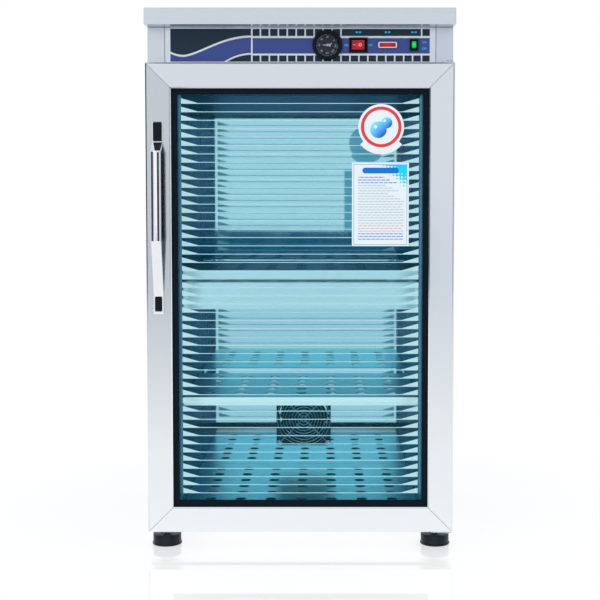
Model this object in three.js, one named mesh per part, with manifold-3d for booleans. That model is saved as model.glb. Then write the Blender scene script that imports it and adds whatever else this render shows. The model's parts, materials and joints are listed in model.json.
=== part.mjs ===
import * as THREE from 'three';
import Module from 'manifold-3d';
import { mergeVertices } from 'three/addons/utils/BufferGeometryUtils.js';

// Glass-door ultraviolet cup sterilizer, in millimetres. +Z is up, the door faces -Y and
// +X is the viewer's right. The origin is on the floor, under the middle of the object.

// Cabinet
const bodyWidth = 446;
const cabinetDepth = 370;
const cabinetHeight = 790;
const standHeight = 25;
const sheet = 1.2;
const assemblyGap = 0.3;

// Folds of the sheet metal
const postWidth = 25;
const rearFlange = 20;
const railFlange = 16;
const panHeight = 20;
const capHeight = 24;
const capOverhang = 1;
const capReturn = 12;

// Zones of the cabinet
const fasciaHeight = 54;
const headerHeight = 43;
const sillHeight = 35;
const wallThickness = 48;
const plenumDepth = 58;

// Vents and cable entry of the rear panel
const ventLength = 60;
const ventSlot = 6;
const ventPitch = 14;
const ventRows = 4;
const ventColumns = 3;
const ventColumnPitch = 90;
const upperVentDrop = 32;
const lowerVentRise = 75;
const glandReach = 12;
const glandBore = 8;
const glandBody = 20;
const glandFlange = 28;
const glandFlangeThickness = 3;
const glandNose = 16;
const glandRise = 40;
const glandInset = 60;

// Shelves, with the share of the cavity's height that each one stands at
const upperShelfShare = 0.575;
const lowerShelfShare = 0.264;
const shelfSetback = 10;
const shelfLip = 12.5;
const shelfRail = 12;
const shelfRoom = 4;
const holeDiameter = 16;
const holePitchAcross = 46;
const holePitchDeep = 40;
const holeMargin = 14;
const holeSides = 8;

// Lamps and the shield under the upper shelf
const shieldHeight = 40;
const shieldDrop = 18;
const shieldFlange = 42;
const lampDiameter = 16;
const lampEndRoom = 31;
const lampPin = 9;
const lampPinLength = 6;
const socketLength = 10;
const socketWidth = 22;
const fittingHeight = 34;
const fittingDepth = 36;
const fittingSetback = 16;
const lampSlotMargin = 8;

// Fan behind the lower compartment
const fanSize = 92;
const fanDepth = 25;
const fanBore = 86;
const fanInlet = 76;
const fanHub = 36;
const fanMotorDepth = 8;
const fanStrut = 4;
const fanStrutThickness = 3;
const fanAxle = 3;
const fanAxleLength = 14;
const fanScrewSpacing = 82.5;
const fanScrewHole = 4.4;
const fanRise = 82.5;
const bladeCount = 7;
const bladeTipGap = 2;
const bladeChord = 20;
const bladeThickness = 1.6;
const bladePitch = THREE.MathUtils.degToRad(40);
const hubLength = 15;
const guardWire = 2.2;
const guardSpoke = 2.4;
const guardWeld = 0.6;
const guardRings = 4;
const guardRingPitch = 10;
const guardEyelet = 9;

// Heater on the base pan
const heaterRod = 8;
const heaterLength = 220;
const heaterSpread = 60;
const heaterPlate = 3;
const heaterPlateHeight = 28;
const heaterPlateMargin = 10;
const heaterSetback = 130;

// Electrics on the cavity ceiling
const ballastLength = 150;
const ballastDepth = 40;
const ballastHeight = 28;
const ballastFoot = 12;
const ballastFootThickness = 2;
const ballastInset = 70;
const electricsSetback = 130;
const terminalPitch = 12;
const terminalCount = 5;
const terminalDepth = 20;
const terminalHeight = 14;
const terminalWall = 2;
const terminalBase = 4;

// Control overlay and the places of the controls, from the overlay's right end
const overlayHeight = 47.5;
const overlayThickness = 0.8;
const overlayMargin = 8.2;
const controlLift = 1;
const lampSwitchInset = 23.8;
const pilotLampInset = 62.4;
const powerSwitchInset = 104.9;
const thermometerInset = 150.1;

// Dial thermometer
const bezelDiameter = 43.5;
const bezelDepth = 5;
const bezelBevel = 1.2;
const caseWall = 1;
const caseDiameter = 36;
const caseDepth = 28;
const lensInset = 1;
const lensThickness = 1.2;
const pointerRoom = 0.8;
const pointerThickness = 0.6;
const pointerLift = 0.6;
const pointerLength = 13;
const pointerTail = 5;
const pointerTailWidth = 5;
const pointerTip = 0.8;
const pointerHub = 4;
const spindleDiameter = 1.6;
const spindleLength = 4;
const dialThickness = 0.8;

// Rocker switches
const switchFlange = 2;
const switchWall = 0.9;
const switchDepth = 16;
const pocketGap = 0.6;
const pocketDepth = 8;
const rockerEnd = 4.5;
const rockerWaist = 3;
const rockerShoulder = 1;
const rockerBelly = 5;
const rockerBellyShare = 0.7;
const rockerTilt = THREE.MathUtils.degToRad(8);
const tabWidth = 4.8;
const tabThickness = 0.8;
const tabLength = 8;
const tabPitchShare = 1 / 3;
const powerRockerLength = 20;
const powerRockerWidth = 16;
const powerRim = 2.25;
const lampRockerLength = 10.7;
const lampRockerWidth = 7;
const lampRim = 2.8;

// Pilot lamp
const pilotWindowLength = 23;
const pilotWindowHeight = 6;
const pilotRim = 2;
const pilotWall = 0.7;
const pilotCorner = 1.4;
const pilotFlange = 2.5;
const pilotDepth = 14;
const pilotLensDepth = 5;
const pilotLensInset = 0.8;

// Door frame and glass
const doorThickness = 26;
const doorGap = 4;
const doorReveal = 3;
const frameWidth = 37;
const frameWall = 3;
const frameBevel = 2;
const glassThickness = 5;
const glassSetback = 8;
const gasketLeg = 1.2;
const gasketEmbed = 6;
const gasketShow = 8;
const sealWidth = 10;
const sealMargin = 5;
const magnetWidth = 12;
const magnetLength = 60;

// Door handle
const handleWidth = 14;
const handleLength = 278.5;
const handleReach = 34;
const handleDrop = 84.5;
const handleBevel = 2;
const handleFoot = 30;
const handleFootThickness = 7;
const handleRiser = 13.5;
const handleTaper = 77;
const gripThickness = 10;
const coverHeight = 20;
const coverDepth = 2;
const coverProud = 0.6;

// Door hinges
const hingeInset = 6.5;
const hingeSetback = 12;
const hingePin = 5;
const hingePinLength = 12;
const hingeLeaf = 2;
const hingeBackLeaf = 1.5;
const hingeBackHeight = 30;
const hingeNose = 6;
const hingePinHead = 9;
const hingeHead = 1.4;
const upperHingeWidth = 16;
const lowerHingeWidth = 28;
const hingeEdge = 1;

// Feet
const footDiameter = 44;
const footHeight = 16;
const footBevel = 2;
const footNeck = 16;
const footStud = 10;
const footStudRise = 9;
const footInset = 22.5;
const frontFootSetback = 12;
const rearFootSetback = 42;

// Roundness of turned parts
const fineSides = 32;
const coarseSides = 20;
const wireSides = 5;
const ringSides = 16;
const heaterSteps = 30;

// How far a cut runs past the faces it opens
const cutOverrun = 1;

// Planes of the cabinet
const bodyHalf = bodyWidth / 2;
const capHalf = bodyHalf + capOverhang;
const frontHalf = bodyHalf - postWidth - assemblyGap;
const cavityHalf = bodyHalf - wallThickness;
const doorFrontY = (handleReach - cabinetDepth - glandReach) / 2;
const doorBackY = doorFrontY + doorThickness;
const bodyFrontY = doorBackY + doorGap;
const bodyRearY = doorFrontY + cabinetDepth;
const rearFlangeY = bodyRearY - sheet - assemblyGap;
const backWallY = bodyRearY - plenumDepth;
const capBottomZ = cabinetHeight - capHeight;
const bodyTopZ = capBottomZ - assemblyGap;
const doorTopZ = capBottomZ - fasciaHeight;
const doorBottomZ = standHeight + doorReveal;
const cavityBottomZ = standHeight + sillHeight;
const cavityTopZ = doorTopZ - headerHeight;
const cavityHeight = cavityTopZ - cavityBottomZ;
const ceilingTopZ = cavityTopZ + sheet;
const floorUnderZ = cavityBottomZ - sheet;

const wasm = await Module();
wasm.setup();

const alongX = new THREE.Matrix4().makeBasis(
  new THREE.Vector3(0, 1, 0), new THREE.Vector3(0, 0, 1), new THREE.Vector3(1, 0, 0));
const alongY = new THREE.Matrix4().makeBasis(
  new THREE.Vector3(1, 0, 0), new THREE.Vector3(0, 0, 1), new THREE.Vector3(0, -1, 0));

// A closed solid from a geometry, with its shared corners merged
function toSolid(geometry) {
  const bare = geometry.clone();
  bare.deleteAttribute('normal');
  bare.deleteAttribute('uv');
  const merged = mergeVertices(bare);
  const corners = merged.index.array;
  const triVerts = [];
  for (let i = 0; i < corners.length; i += 3) {
    const [a, b, c] = [corners[i], corners[i + 1], corners[i + 2]];
    if (a !== b && b !== c && c !== a) triVerts.push(a, b, c);
  }
  return new wasm.Manifold(new wasm.Mesh({
    numProp: 3,
    vertProperties: new Float32Array(merged.attributes.position.array),
    triVerts: new Uint32Array(triVerts),
  }));
}

function toGeometry(solid) {
  const mesh = solid.getMesh();
  const geometry = new THREE.BufferGeometry();
  geometry.setAttribute('position', new THREE.BufferAttribute(mesh.vertProperties, 3));
  geometry.setIndex(new THREE.BufferAttribute(mesh.triVerts, 1));
  geometry.computeVertexNormals();
  return geometry;
}

const join = (first, ...others) => others.reduce((whole, part) => whole.add(part), first);
const cut = (first, ...others) => others.reduce((rest, part) => rest.subtract(part), first);
const count = (number) => Array.from({ length: number }, (_, i) => i);
const centred = (size, middle = 0) => [middle - size / 2, middle + size / 2];
const evenly = (number, pitch) => count(number).map((i) => (i - (number - 1) / 2) * pitch);

function block(...spans) {
  const geometry = new THREE.BoxGeometry(...spans.map(([from, to]) => Math.abs(to - from)));
  geometry.translate(...spans.map(([from, to]) => (from + to) / 2));
  return toSolid(geometry);
}

const rectangle = ([left, right], [low, high]) => [
  [left, low], [right, low], [right, high], [left, high]];

function roundOutline(diameter, sides, [u, v] = [0, 0]) {
  return count(sides).map((i) => {
    const angle = (2 * Math.PI * (i + 0.5)) / sides;
    return [u + (diameter / 2) * Math.cos(angle), v + (diameter / 2) * Math.sin(angle)];
  });
}

const chamferedRectangle = (width, height, corner) => [
  [-width / 2 + corner, -height / 2], [width / 2 - corner, -height / 2],
  [width / 2, -height / 2 + corner], [width / 2, height / 2 - corner],
  [width / 2 - corner, height / 2], [-width / 2 + corner, height / 2],
  [-width / 2, height / 2 - corner], [-width / 2, -height / 2 + corner]];

// An outline carried along an axis: (y, z) along X, (x, z) along Y, (x, y) along Z
function prism(axis, outline, span, holes = [], bevel = {}) {
  const [from, to] = [Math.min(...span), Math.max(...span)];
  const points = outline.map(([u, v]) => new THREE.Vector2(u, v));
  if (THREE.ShapeUtils.area(points) < 0) points.reverse();
  const options = { depth: to - from, bevelEnabled: false, ...bevel };
  const geometry = new THREE.ExtrudeGeometry(new THREE.Shape(points), options);
  if (axis === 'x') geometry.applyMatrix4(alongX).translate(from, 0, 0);
  if (axis === 'y') geometry.applyMatrix4(alongY).translate(0, to, 0);
  if (axis === 'z') geometry.translate(0, 0, from);
  return cut(toSolid(geometry), ...holes.map((hole) =>
    prism(axis, hole, [from - cutOverrun, to + cutOverrun])));
}

const rod = (axis, diameter, span, centre, sides = coarseSides) =>
  prism(axis, roundOutline(diameter, sides, centre), span);

// A profile of [radius, height] points turned about an axis, from its low end to its high end
function turned(axis, profile, sides = fineSides) {
  const geometry = new THREE.LatheGeometry(profile.map(([r, h]) => new THREE.Vector2(r, h)), sides);
  if (axis === 'z') geometry.rotateX(Math.PI / 2);
  if (axis === 'x') geometry.rotateZ(-Math.PI / 2);
  return toSolid(geometry);
}

const finish = (color, roughness, metalness, more = {}) =>
  new THREE.MeshStandardMaterial({ color, roughness, metalness, flatShading: true, ...more });
const satinSteel = finish(0xd2dbe2, 0.35, 0.9);
const mirrorSteel = finish(0xc4d6de, 0.08, 1);
const zincSteel = finish(0x9a9690, 0.45, 0.9);
const aluminium = finish(0xd8dee4, 0.3, 0.8);
const chrome = finish(0xe6eaee, 0.05, 1);
const blackPlastic = finish(0x14181d, 0.45, 0);
const blackRubber = finish(0x101418, 0.75, 0);
const tintedGlass = finish(0x9fd8e6, 0.02, 0, { transparent: true, opacity: 0.3 });
const clearGlass = finish(0xffffff, 0.02, 0, { transparent: true, opacity: 0.2 });
const overlayPrint = finish(0x44428c, 0.3, 0);
const dialBlack = finish(0x20262e, 0.6, 0);
const pointerWhite = finish(0xd6dee4, 0.5, 0);
const redLens = finish(0xd00f22, 0.2, 0, { emissive: 0x700008 });
const greenLens = finish(0x10d850, 0.2, 0, { emissive: 0x006020 });
const lampGlass = finish(0xe8f0ff, 0.1, 0);
const whiteEnamel = finish(0xe9edf0, 0.4, 0.1);
const heaterSheath = finish(0x55504a, 0.5, 0.8);
const ballastSteel = finish(0x8d9499, 0.5, 0.7);
const nylonWhite = finish(0xe6e2d6, 0.6, 0);

const cabinet = new THREE.Group();

function addPiece(name, solid, material, parent = cabinet) {
  const mesh = new THREE.Mesh(toGeometry(solid), material.clone());
  mesh.name = name;
  parent.add(mesh);
  return mesh;
}

function addGroup(x, y, z, parent = cabinet) {
  const group = new THREE.Group();
  group.position.set(x, y, z);
  parent.add(group);
  return group;
}

// Outer shell
function sidePanel(side) {
  const outline = [
    [bodyHalf, bodyFrontY], [bodyHalf, rearFlangeY],
    [bodyHalf - rearFlange, rearFlangeY], [bodyHalf - rearFlange, rearFlangeY - sheet],
    [bodyHalf - sheet, rearFlangeY - sheet], [bodyHalf - sheet, bodyFrontY + sheet],
    [bodyHalf - postWidth, bodyFrontY + sheet], [bodyHalf - postWidth, bodyFrontY]];
  return prism('z', outline.map(([x, y]) => [side * x, y]), [standHeight, bodyTopZ]);
}

const glandX = bodyHalf - glandInset;
const glandZ = standHeight + glandRise;

function rearPanel() {
  const vents = [bodyTopZ - upperVentDrop, cavityBottomZ + lowerVentRise].flatMap((middle) =>
    evenly(ventRows, ventPitch).flatMap((z) =>
      evenly(ventColumns, ventColumnPitch).map((x) =>
        rectangle(centred(ventLength, x), centred(ventSlot, middle + z)))));
  const cableHole = roundOutline(glandBody + 2 * assemblyGap, coarseSides, [glandX, glandZ]);
  return prism('y', rectangle([-bodyHalf, bodyHalf], [standHeight, bodyTopZ]),
    [bodyRearY - sheet, bodyRearY], [...vents, cableHole]);
}

function cableGland() {
  const inner = -sheet - glandFlangeThickness;
  return turned('y', [
    [glandBore / 2, inner], [glandBody / 2, inner], [glandBody / 2, assemblyGap],
    [glandFlange / 2, assemblyGap], [glandFlange / 2, assemblyGap + glandFlangeThickness],
    [glandNose / 2, assemblyGap + glandFlangeThickness], [glandNose / 2, glandReach],
    [glandBore / 2, glandReach], [glandBore / 2, inner]], coarseSides);
}

const footPlaces = {
  front_left_foot: [-bodyHalf + footInset, bodyFrontY + frontFootSetback],
  front_right_foot: [bodyHalf - footInset, bodyFrontY + frontFootSetback],
  rear_left_foot: [-bodyHalf + footInset, bodyRearY - rearFootSetback],
  rear_right_foot: [bodyHalf - footInset, bodyRearY - rearFootSetback],
};

function basePan() {
  const halfWidth = bodyHalf - sheet - assemblyGap;
  const front = bodyFrontY + sheet + assemblyGap;
  const rear = rearFlangeY - sheet - assemblyGap;
  const tray = block([-halfWidth, halfWidth], [front, rear], [standHeight, standHeight + panHeight]);
  const inside = block([-halfWidth + sheet, halfWidth - sheet], [front + sheet, rear - sheet],
    [standHeight + sheet, standHeight + 2 * panHeight]);
  const studHoles = Object.values(footPlaces).map((place) =>
    rod('z', footStud + 2 * assemblyGap, [0, standHeight + panHeight], place));
  return cut(tray, inside, ...studHoles);
}

function topCap() {
  const shell = block([-capHalf, capHalf], [doorFrontY, bodyRearY], [capBottomZ, cabinetHeight]);
  const hollow = block([-capHalf + sheet, capHalf - sheet], [doorFrontY + sheet, bodyRearY - sheet],
    [capBottomZ + sheet, cabinetHeight - sheet]);
  const mouth = block([-bodyHalf + capReturn, bodyHalf - capReturn],
    [bodyFrontY + capReturn, bodyRearY - capReturn], [bodyTopZ, cabinetHeight - sheet]);
  return cut(shell, hollow, mouth);
}

// An upright front strip with one edge folded back, along X
function foldedStrip([low, high], foldAtTop, holes = []) {
  const strip = prism('y', rectangle([-frontHalf, frontHalf], [low, high]),
    [bodyFrontY, bodyFrontY + sheet], holes);
  const foldZ = foldAtTop ? [high - sheet, high] : [low, low + sheet];
  return join(strip, block([-frontHalf, frontHalf], [bodyFrontY, bodyFrontY + railFlange], foldZ));
}

addPiece('top_cap', topCap(), satinSteel);
addPiece('left_side_panel', sidePanel(-1), satinSteel);
addPiece('right_side_panel', sidePanel(1), satinSteel);
addPiece('rear_panel', rearPanel(), satinSteel);
addPiece('base_pan', basePan(), zincSteel);
addPiece('front_top_rail',
  foldedStrip([ceilingTopZ + assemblyGap, doorTopZ - assemblyGap], true), satinSteel);
addPiece('front_bottom_rail',
  foldedStrip([standHeight, floorUnderZ - assemblyGap], true), satinSteel);
addPiece('power_cord_gland', cableGland(), blackPlastic, addGroup(glandX, bodyRearY, glandZ));

// Cavity lining
const lampLength = 2 * (cavityHalf - lampEndRoom);
const lampFittingLength = lampLength + 2 * (socketLength + assemblyGap);
const lampFittingFrontY = bodyFrontY + fittingSetback;

function cavityWall(side) {
  const outline = [
    [cavityHalf, bodyFrontY], [frontHalf, bodyFrontY], [frontHalf, bodyFrontY + sheet],
    [cavityHalf + sheet, bodyFrontY + sheet], [cavityHalf + sheet, backWallY - assemblyGap],
    [cavityHalf, backWallY - assemblyGap]];
  return prism('z', outline.map(([x, y]) => [side * x, y]), [floorUnderZ, ceilingTopZ]);
}

const fanZ = cavityBottomZ + fanRise;
const liningHalf = cavityHalf - assemblyGap;
const liningRearY = backWallY - assemblyGap;

function cavityBack() {
  return prism('y', rectangle([-frontHalf, frontHalf], [floorUnderZ, ceilingTopZ]),
    [backWallY, backWallY + sheet], [roundOutline(fanInlet, fineSides, [0, fanZ])]);
}

function cavityCeiling() {
  const lampSlot = rectangle(centred(lampFittingLength - 2 * lampSlotMargin),
    [lampFittingFrontY + lampSlotMargin, lampFittingFrontY + fittingDepth - lampSlotMargin]);
  return prism('z', rectangle([-liningHalf, liningHalf], [bodyFrontY, liningRearY]),
    [cavityTopZ, ceilingTopZ], [lampSlot]);
}

// A plate with rows of round holes, clear of its edges
function perforatedPlate([left, right], [front, rear], [low, high]) {
  const across = Math.floor((right - left - holeDiameter - 2 * holeMargin) / holePitchAcross) + 1;
  const deep = Math.floor((rear - front - holeDiameter - 2 * holeMargin) / holePitchDeep) + 1;
  const holes = evenly(across, holePitchAcross).flatMap((x) =>
    evenly(deep, holePitchDeep).map((y) =>
      roundOutline(holeDiameter, holeSides, [(left + right) / 2 + x, (front + rear) / 2 + y])));
  return prism('z', rectangle([left, right], [front, rear]), [low, high], holes);
}

const fanFrontY = backWallY - assemblyGap - fanDepth;
const guardDepth = guardWire + guardSpoke - guardWeld;
const guardFrontY = fanFrontY - assemblyGap - guardDepth;
const shelfHalf = cavityHalf - assemblyGap;
const shelfFrontY = bodyFrontY + shelfSetback;
const shelfRearY = guardFrontY - shelfRoom;
const upperShelfZ = cavityBottomZ + upperShelfShare * cavityHeight;
const lowerShelfZ = cavityBottomZ + lowerShelfShare * cavityHeight;

function shelf(topZ) {
  const plate = perforatedPlate([-shelfHalf, shelfHalf], [shelfFrontY, shelfRearY], [topZ - sheet, topZ]);
  const lip = block([-shelfHalf, shelfHalf], [shelfFrontY, shelfFrontY + sheet], [topZ - shelfLip, topZ]);
  return join(plate, lip);
}

function shelfSupport(side, topZ) {
  const wallX = cavityHalf - assemblyGap;
  const railTop = topZ - sheet - assemblyGap;
  const outline = [
    [wallX, railTop], [wallX - shelfRail, railTop], [wallX - shelfRail, railTop - sheet],
    [wallX - sheet, railTop - sheet], [wallX - sheet, railTop - shelfRail], [wallX, railTop - shelfRail]];
  return prism('y', outline.map(([x, z]) => [side * x, z]),
    [shelfFrontY + shieldFlange + shelfRail, shelfRearY]);
}

addPiece('cavity_left_wall', cavityWall(-1), mirrorSteel);
addPiece('cavity_right_wall', cavityWall(1), mirrorSteel);
addPiece('cavity_back_wall', cavityBack(), mirrorSteel);
addPiece('cavity_ceiling', cavityCeiling(), mirrorSteel);
addPiece('cavity_floor', perforatedPlate([-liningHalf, liningHalf], [bodyFrontY, liningRearY],
  [floorUnderZ, cavityBottomZ]), mirrorSteel);
for (const [level, topZ] of [['upper', upperShelfZ], ['lower', lowerShelfZ]]) {
  addPiece(`${level}_shelf`, shelf(topZ), mirrorSteel);
  addPiece(`${level}_shelf_left_support`, shelfSupport(-1, topZ), mirrorSteel);
  addPiece(`${level}_shelf_right_support`, shelfSupport(1, topZ), mirrorSteel);
}

// Lamps: both fittings are the same open trough, with a socket at each end
function lampFitting() {
  const half = lampFittingLength / 2;
  const trough = block([-half, half], [0, fittingDepth], [0, fittingHeight]);
  const hollow = block([-half + sheet, half - sheet], [sheet, fittingDepth - sheet],
    [-sheet, fittingHeight - sheet]);
  const sockets = [-1, 1].map((side) => block([side * (half - socketLength), side * (half - sheet / 2)],
    centred(socketWidth, fittingDepth / 2), [0, fittingHeight - sheet / 2]));
  const bore = rod('x', lampPin + 2 * assemblyGap, centred(lampFittingLength - 2 * sheet),
    [fittingDepth / 2, fittingHeight / 2]);
  return cut(join(cut(trough, hollow), ...sockets), bore);
}

function ultravioletLamp() {
  const half = lampLength / 2;
  return turned('x', [
    [0, -half - lampPinLength], [lampPin / 2, -half - lampPinLength], [lampPin / 2, -half],
    [lampDiameter / 2, -half], [lampDiameter / 2, half], [lampPin / 2, half],
    [lampPin / 2, half + lampPinLength], [0, half + lampPinLength]], coarseSides);
}

function lampShield(flangeZ) {
  const frontY = [shelfFrontY, shelfFrontY + sheet];
  const plate = block([-shelfHalf, shelfHalf], frontY, [flangeZ - shieldHeight, flangeZ]);
  const flange = block([-shelfHalf, shelfHalf], [shelfFrontY, shelfFrontY + shieldFlange],
    [flangeZ - sheet, flangeZ]);
  return join(plate, flange);
}

const shieldTopZ = upperShelfZ - shieldDrop;
addPiece('lamp_shield', lampShield(shieldTopZ), mirrorSteel);
const lampPlaces = {
  upper: [lampFittingFrontY, ceilingTopZ + assemblyGap],
  middle: [shelfFrontY + sheet + assemblyGap, shieldTopZ - sheet - assemblyGap - fittingHeight],
};
for (const [level, [frontY, bottomZ]] of Object.entries(lampPlaces)) {
  const fitting = addGroup(0, frontY, bottomZ);
  addPiece(`${level}_lamp_fitting`, lampFitting(), whiteEnamel, fitting);
  addPiece(`${level}_uv_lamp`, ultravioletLamp(), lampGlass,
    addGroup(0, fittingDepth / 2, fittingHeight / 2, fitting));
}

// Fan, in a frame of its own with its back at y = 0 and its axis along Y
function fanFrame() {
  const body = prism('y', chamferedRectangle(fanSize, fanSize, fanStrut), [-fanDepth, 0],
    [roundOutline(fanBore, fineSides)]);
  const motor = rod('y', fanHub, [-fanMotorDepth, 0]);
  const struts = [
    block(centred(fanBore + fanStrut), [-fanStrutThickness, 0], centred(fanStrut)),
    block(centred(fanStrut), [-fanStrutThickness, 0], centred(fanBore + fanStrut))];
  const axle = rod('y', fanAxle, [-fanMotorDepth - fanAxleLength, 0]);
  const screwHoles = [-1, 1].flatMap((across) => [-1, 1].map((up) =>
    rod('y', fanScrewHole, [-2 * fanDepth, fanDepth],
      [across * fanScrewSpacing / 2, up * fanScrewSpacing / 2], holeSides)));
  return cut(join(body, motor, ...struts, axle), ...screwHoles);
}

function fanImpeller() {
  const back = -fanMotorDepth - assemblyGap;
  const hub = rod('y', fanHub, [back - hubLength, back]);
  const bore = rod('y', fanAxle + 2 * assemblyGap,
    [-fanMotorDepth - fanAxleLength - assemblyGap, 0]);
  const tip = fanBore / 2 - bladeTipGap;
  const root = fanHub / 2 - bladeThickness;
  const blades = count(bladeCount).map((i) => {
    const blade = new THREE.BoxGeometry(tip - root, bladeThickness, bladeChord);
    blade.rotateX(bladePitch);
    blade.translate((tip + root) / 2, back - hubLength / 2, 0);
    blade.rotateY((2 * Math.PI * i) / bladeCount);
    return toSolid(blade);
  });
  return cut(join(hub, ...blades), bore);
}

// The guard's rings lie in front, welded to two spokes that end in screw eyelets
function fanGuard() {
  const spokePlane = guardDepth - guardSpoke / 2;
  const rings = count(guardRings).map((i) => {
    const wire = new THREE.TorusGeometry((i + 1) * guardRingPitch, guardWire / 2, wireSides, ringSides);
    return toSolid(wire.rotateX(Math.PI / 2).translate(0, guardWire / 2, 0));
  });
  const corner = fanScrewSpacing / 2;
  const spokes = [-1, 1].map((lean) => {
    const length = 2 * Math.SQRT2 * corner - fanScrewHole - guardSpoke;
    const wire = new THREE.CylinderGeometry(guardSpoke / 2, guardSpoke / 2, length, wireSides);
    wire.rotateZ(Math.PI / 2).rotateY(lean * Math.PI / 4).translate(0, spokePlane, 0);
    return toSolid(wire);
  });
  const corners = [-1, 1].flatMap((across) => [-1, 1].map((up) => [across * corner, up * corner]));
  const span = [guardDepth - guardSpoke, guardDepth];
  const eyelets = corners.map((centre) => rod('y', guardEyelet, span, centre, holeSides));
  const screwHoles = corners.map((centre) =>
    rod('y', fanScrewHole, [-guardDepth, 2 * guardDepth], centre, holeSides));
  return cut(join(...rings, ...spokes, ...eyelets), ...screwHoles);
}

const fanGroup = addGroup(0, backWallY - assemblyGap, fanZ);
addPiece('fan_frame', fanFrame(), blackPlastic, fanGroup);
addPiece('fan_impeller', fanImpeller(), blackPlastic, fanGroup);
addPiece('fan_guard', fanGuard(), chrome, addGroup(0, guardFrontY, fanZ));

// Heater: a hairpin rod with its mounting plate, on the base pan
function heater() {
  const height = heaterPlateHeight / 2;
  const bend = heaterSpread / 2;
  const points = [new THREE.Vector3(0, -bend, height), new THREE.Vector3(heaterLength, -bend, height)];
  const turn = count(coarseSides / 2 - 1).map((i) => {
    const angle = Math.PI * ((i + 1) / (coarseSides / 2) - 0.5);
    return new THREE.Vector3(
      heaterLength + bend * Math.cos(angle), bend * Math.sin(angle), height);
  });
  const route = new THREE.CurvePath();
  const corners = [...points, ...turn,
    new THREE.Vector3(heaterLength, bend, height), new THREE.Vector3(0, bend, height)];
  corners.slice(1).forEach((corner, i) => route.add(new THREE.LineCurve3(corners[i], corner)));
  const section = new THREE.Shape(
    roundOutline(heaterRod, holeSides).map(([u, v]) => new THREE.Vector2(u, v)));
  const rodGeometry = new THREE.ExtrudeGeometry(section, { extrudePath: route, steps: heaterSteps });
  const plate = block([-heaterPlate, heaterPlate], centred(heaterSpread + heaterRod + heaterPlateMargin),
    [0, heaterPlateHeight]);
  return join(toSolid(rodGeometry), plate);
}

addPiece('heater_element', heater(), heaterSheath,
  addGroup(-heaterLength / 2, bodyFrontY + heaterSetback, standHeight + sheet + assemblyGap));

// Electrics on top of the cavity
function ballast() {
  const core = block(centred(ballastLength), centred(ballastDepth), [0, ballastHeight]);
  const feet = block(centred(ballastLength + 2 * ballastFoot), centred(ballastDepth),
    [0, ballastFootThickness]);
  const screwHoles = [-1, 1].map((side) => rod('z', fanScrewHole,
    [-ballastFoot, ballastHeight], [side * (ballastLength + ballastFoot) / 2, 0], holeSides));
  return cut(join(core, feet), ...screwHoles);
}

function terminalBlock() {
  const length = terminalCount * terminalPitch + terminalWall;
  const base = block(centred(length), centred(terminalDepth), [0, terminalBase]);
  const middle = block(centred(length), centred(terminalDepth / 2), [0, terminalHeight / 2]);
  const walls = evenly(terminalCount + 1, terminalPitch).map((x) =>
    block(centred(terminalWall, x), centred(terminalDepth), [0, terminalHeight]));
  return join(base, middle, ...walls);
}

const deckZ = ceilingTopZ + assemblyGap;
addPiece('ballast', ballast(), ballastSteel,
  addGroup(-ballastInset, bodyFrontY + electricsSetback, deckZ));
addPiece('terminal_block', terminalBlock(), nylonWhite,
  addGroup(ballastInset + ballastFoot, bodyFrontY + electricsSetback, deckZ));

// Control panel
const fasciaZ = (doorTopZ + bodyTopZ) / 2 + controlLift;
const overlayHalf = frontHalf - overlayMargin;
const overlayBackY = bodyFrontY - assemblyGap;
const controlY = overlayBackY - overlayThickness - assemblyGap;
const thermometerX = overlayHalf - thermometerInset;
const powerSwitchX = overlayHalf - powerSwitchInset;
const pilotLampX = overlayHalf - pilotLampInset;
const lampSwitchX = overlayHalf - lampSwitchInset;
const housingSize = (rocker) => rocker + 2 * (pocketGap + switchWall);
const pilotBodySize = (window) => window + 2 * (assemblyGap + pilotWall);

const controlHoles = [
  roundOutline(caseDiameter + 2 * assemblyGap, fineSides, [thermometerX, fasciaZ]),
  rectangle(centred(housingSize(powerRockerLength) + 2 * assemblyGap, powerSwitchX),
    centred(housingSize(powerRockerWidth) + 2 * assemblyGap, fasciaZ)),
  rectangle(centred(pilotBodySize(pilotWindowLength) + 2 * assemblyGap, pilotLampX),
    centred(pilotBodySize(pilotWindowHeight) + 2 * assemblyGap, fasciaZ)),
  rectangle(centred(housingSize(lampRockerWidth) + 2 * assemblyGap, lampSwitchX),
    centred(housingSize(lampRockerLength) + 2 * assemblyGap, fasciaZ))];

addPiece('fascia_panel', foldedStrip([doorTopZ, bodyTopZ], false, controlHoles), satinSteel);
addPiece('control_overlay', prism('y',
  rectangle([-overlayHalf, overlayHalf], centred(overlayHeight, fasciaZ)),
  [overlayBackY - overlayThickness, overlayBackY], controlHoles), overlayPrint);

// Dial thermometer, with the back of its bezel at y = 0
const recessRadius = caseDiameter / 2 - caseWall;
const lensFrontY = -bezelDepth + lensInset;
const pointerFrontY = lensFrontY + lensThickness + pointerRoom;
const dialFrontY = pointerFrontY + pointerThickness + pointerLift;
const recessY = dialFrontY + dialThickness + assemblyGap;
const spindleHole = spindleDiameter / 2 + assemblyGap;

function thermometerCase() {
  return turned('y', [
    [0, recessY + spindleLength], [spindleHole, recessY + spindleLength], [spindleHole, recessY],
    [recessRadius, recessY], [recessRadius, -bezelDepth + bezelBevel / 2],
    [recessRadius + bezelBevel / 2, -bezelDepth], [bezelDiameter / 2 - bezelBevel, -bezelDepth],
    [bezelDiameter / 2, -bezelDepth + bezelBevel], [bezelDiameter / 2, 0],
    [caseDiameter / 2, 0], [caseDiameter / 2, caseDepth], [0, caseDepth]]);
}

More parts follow.
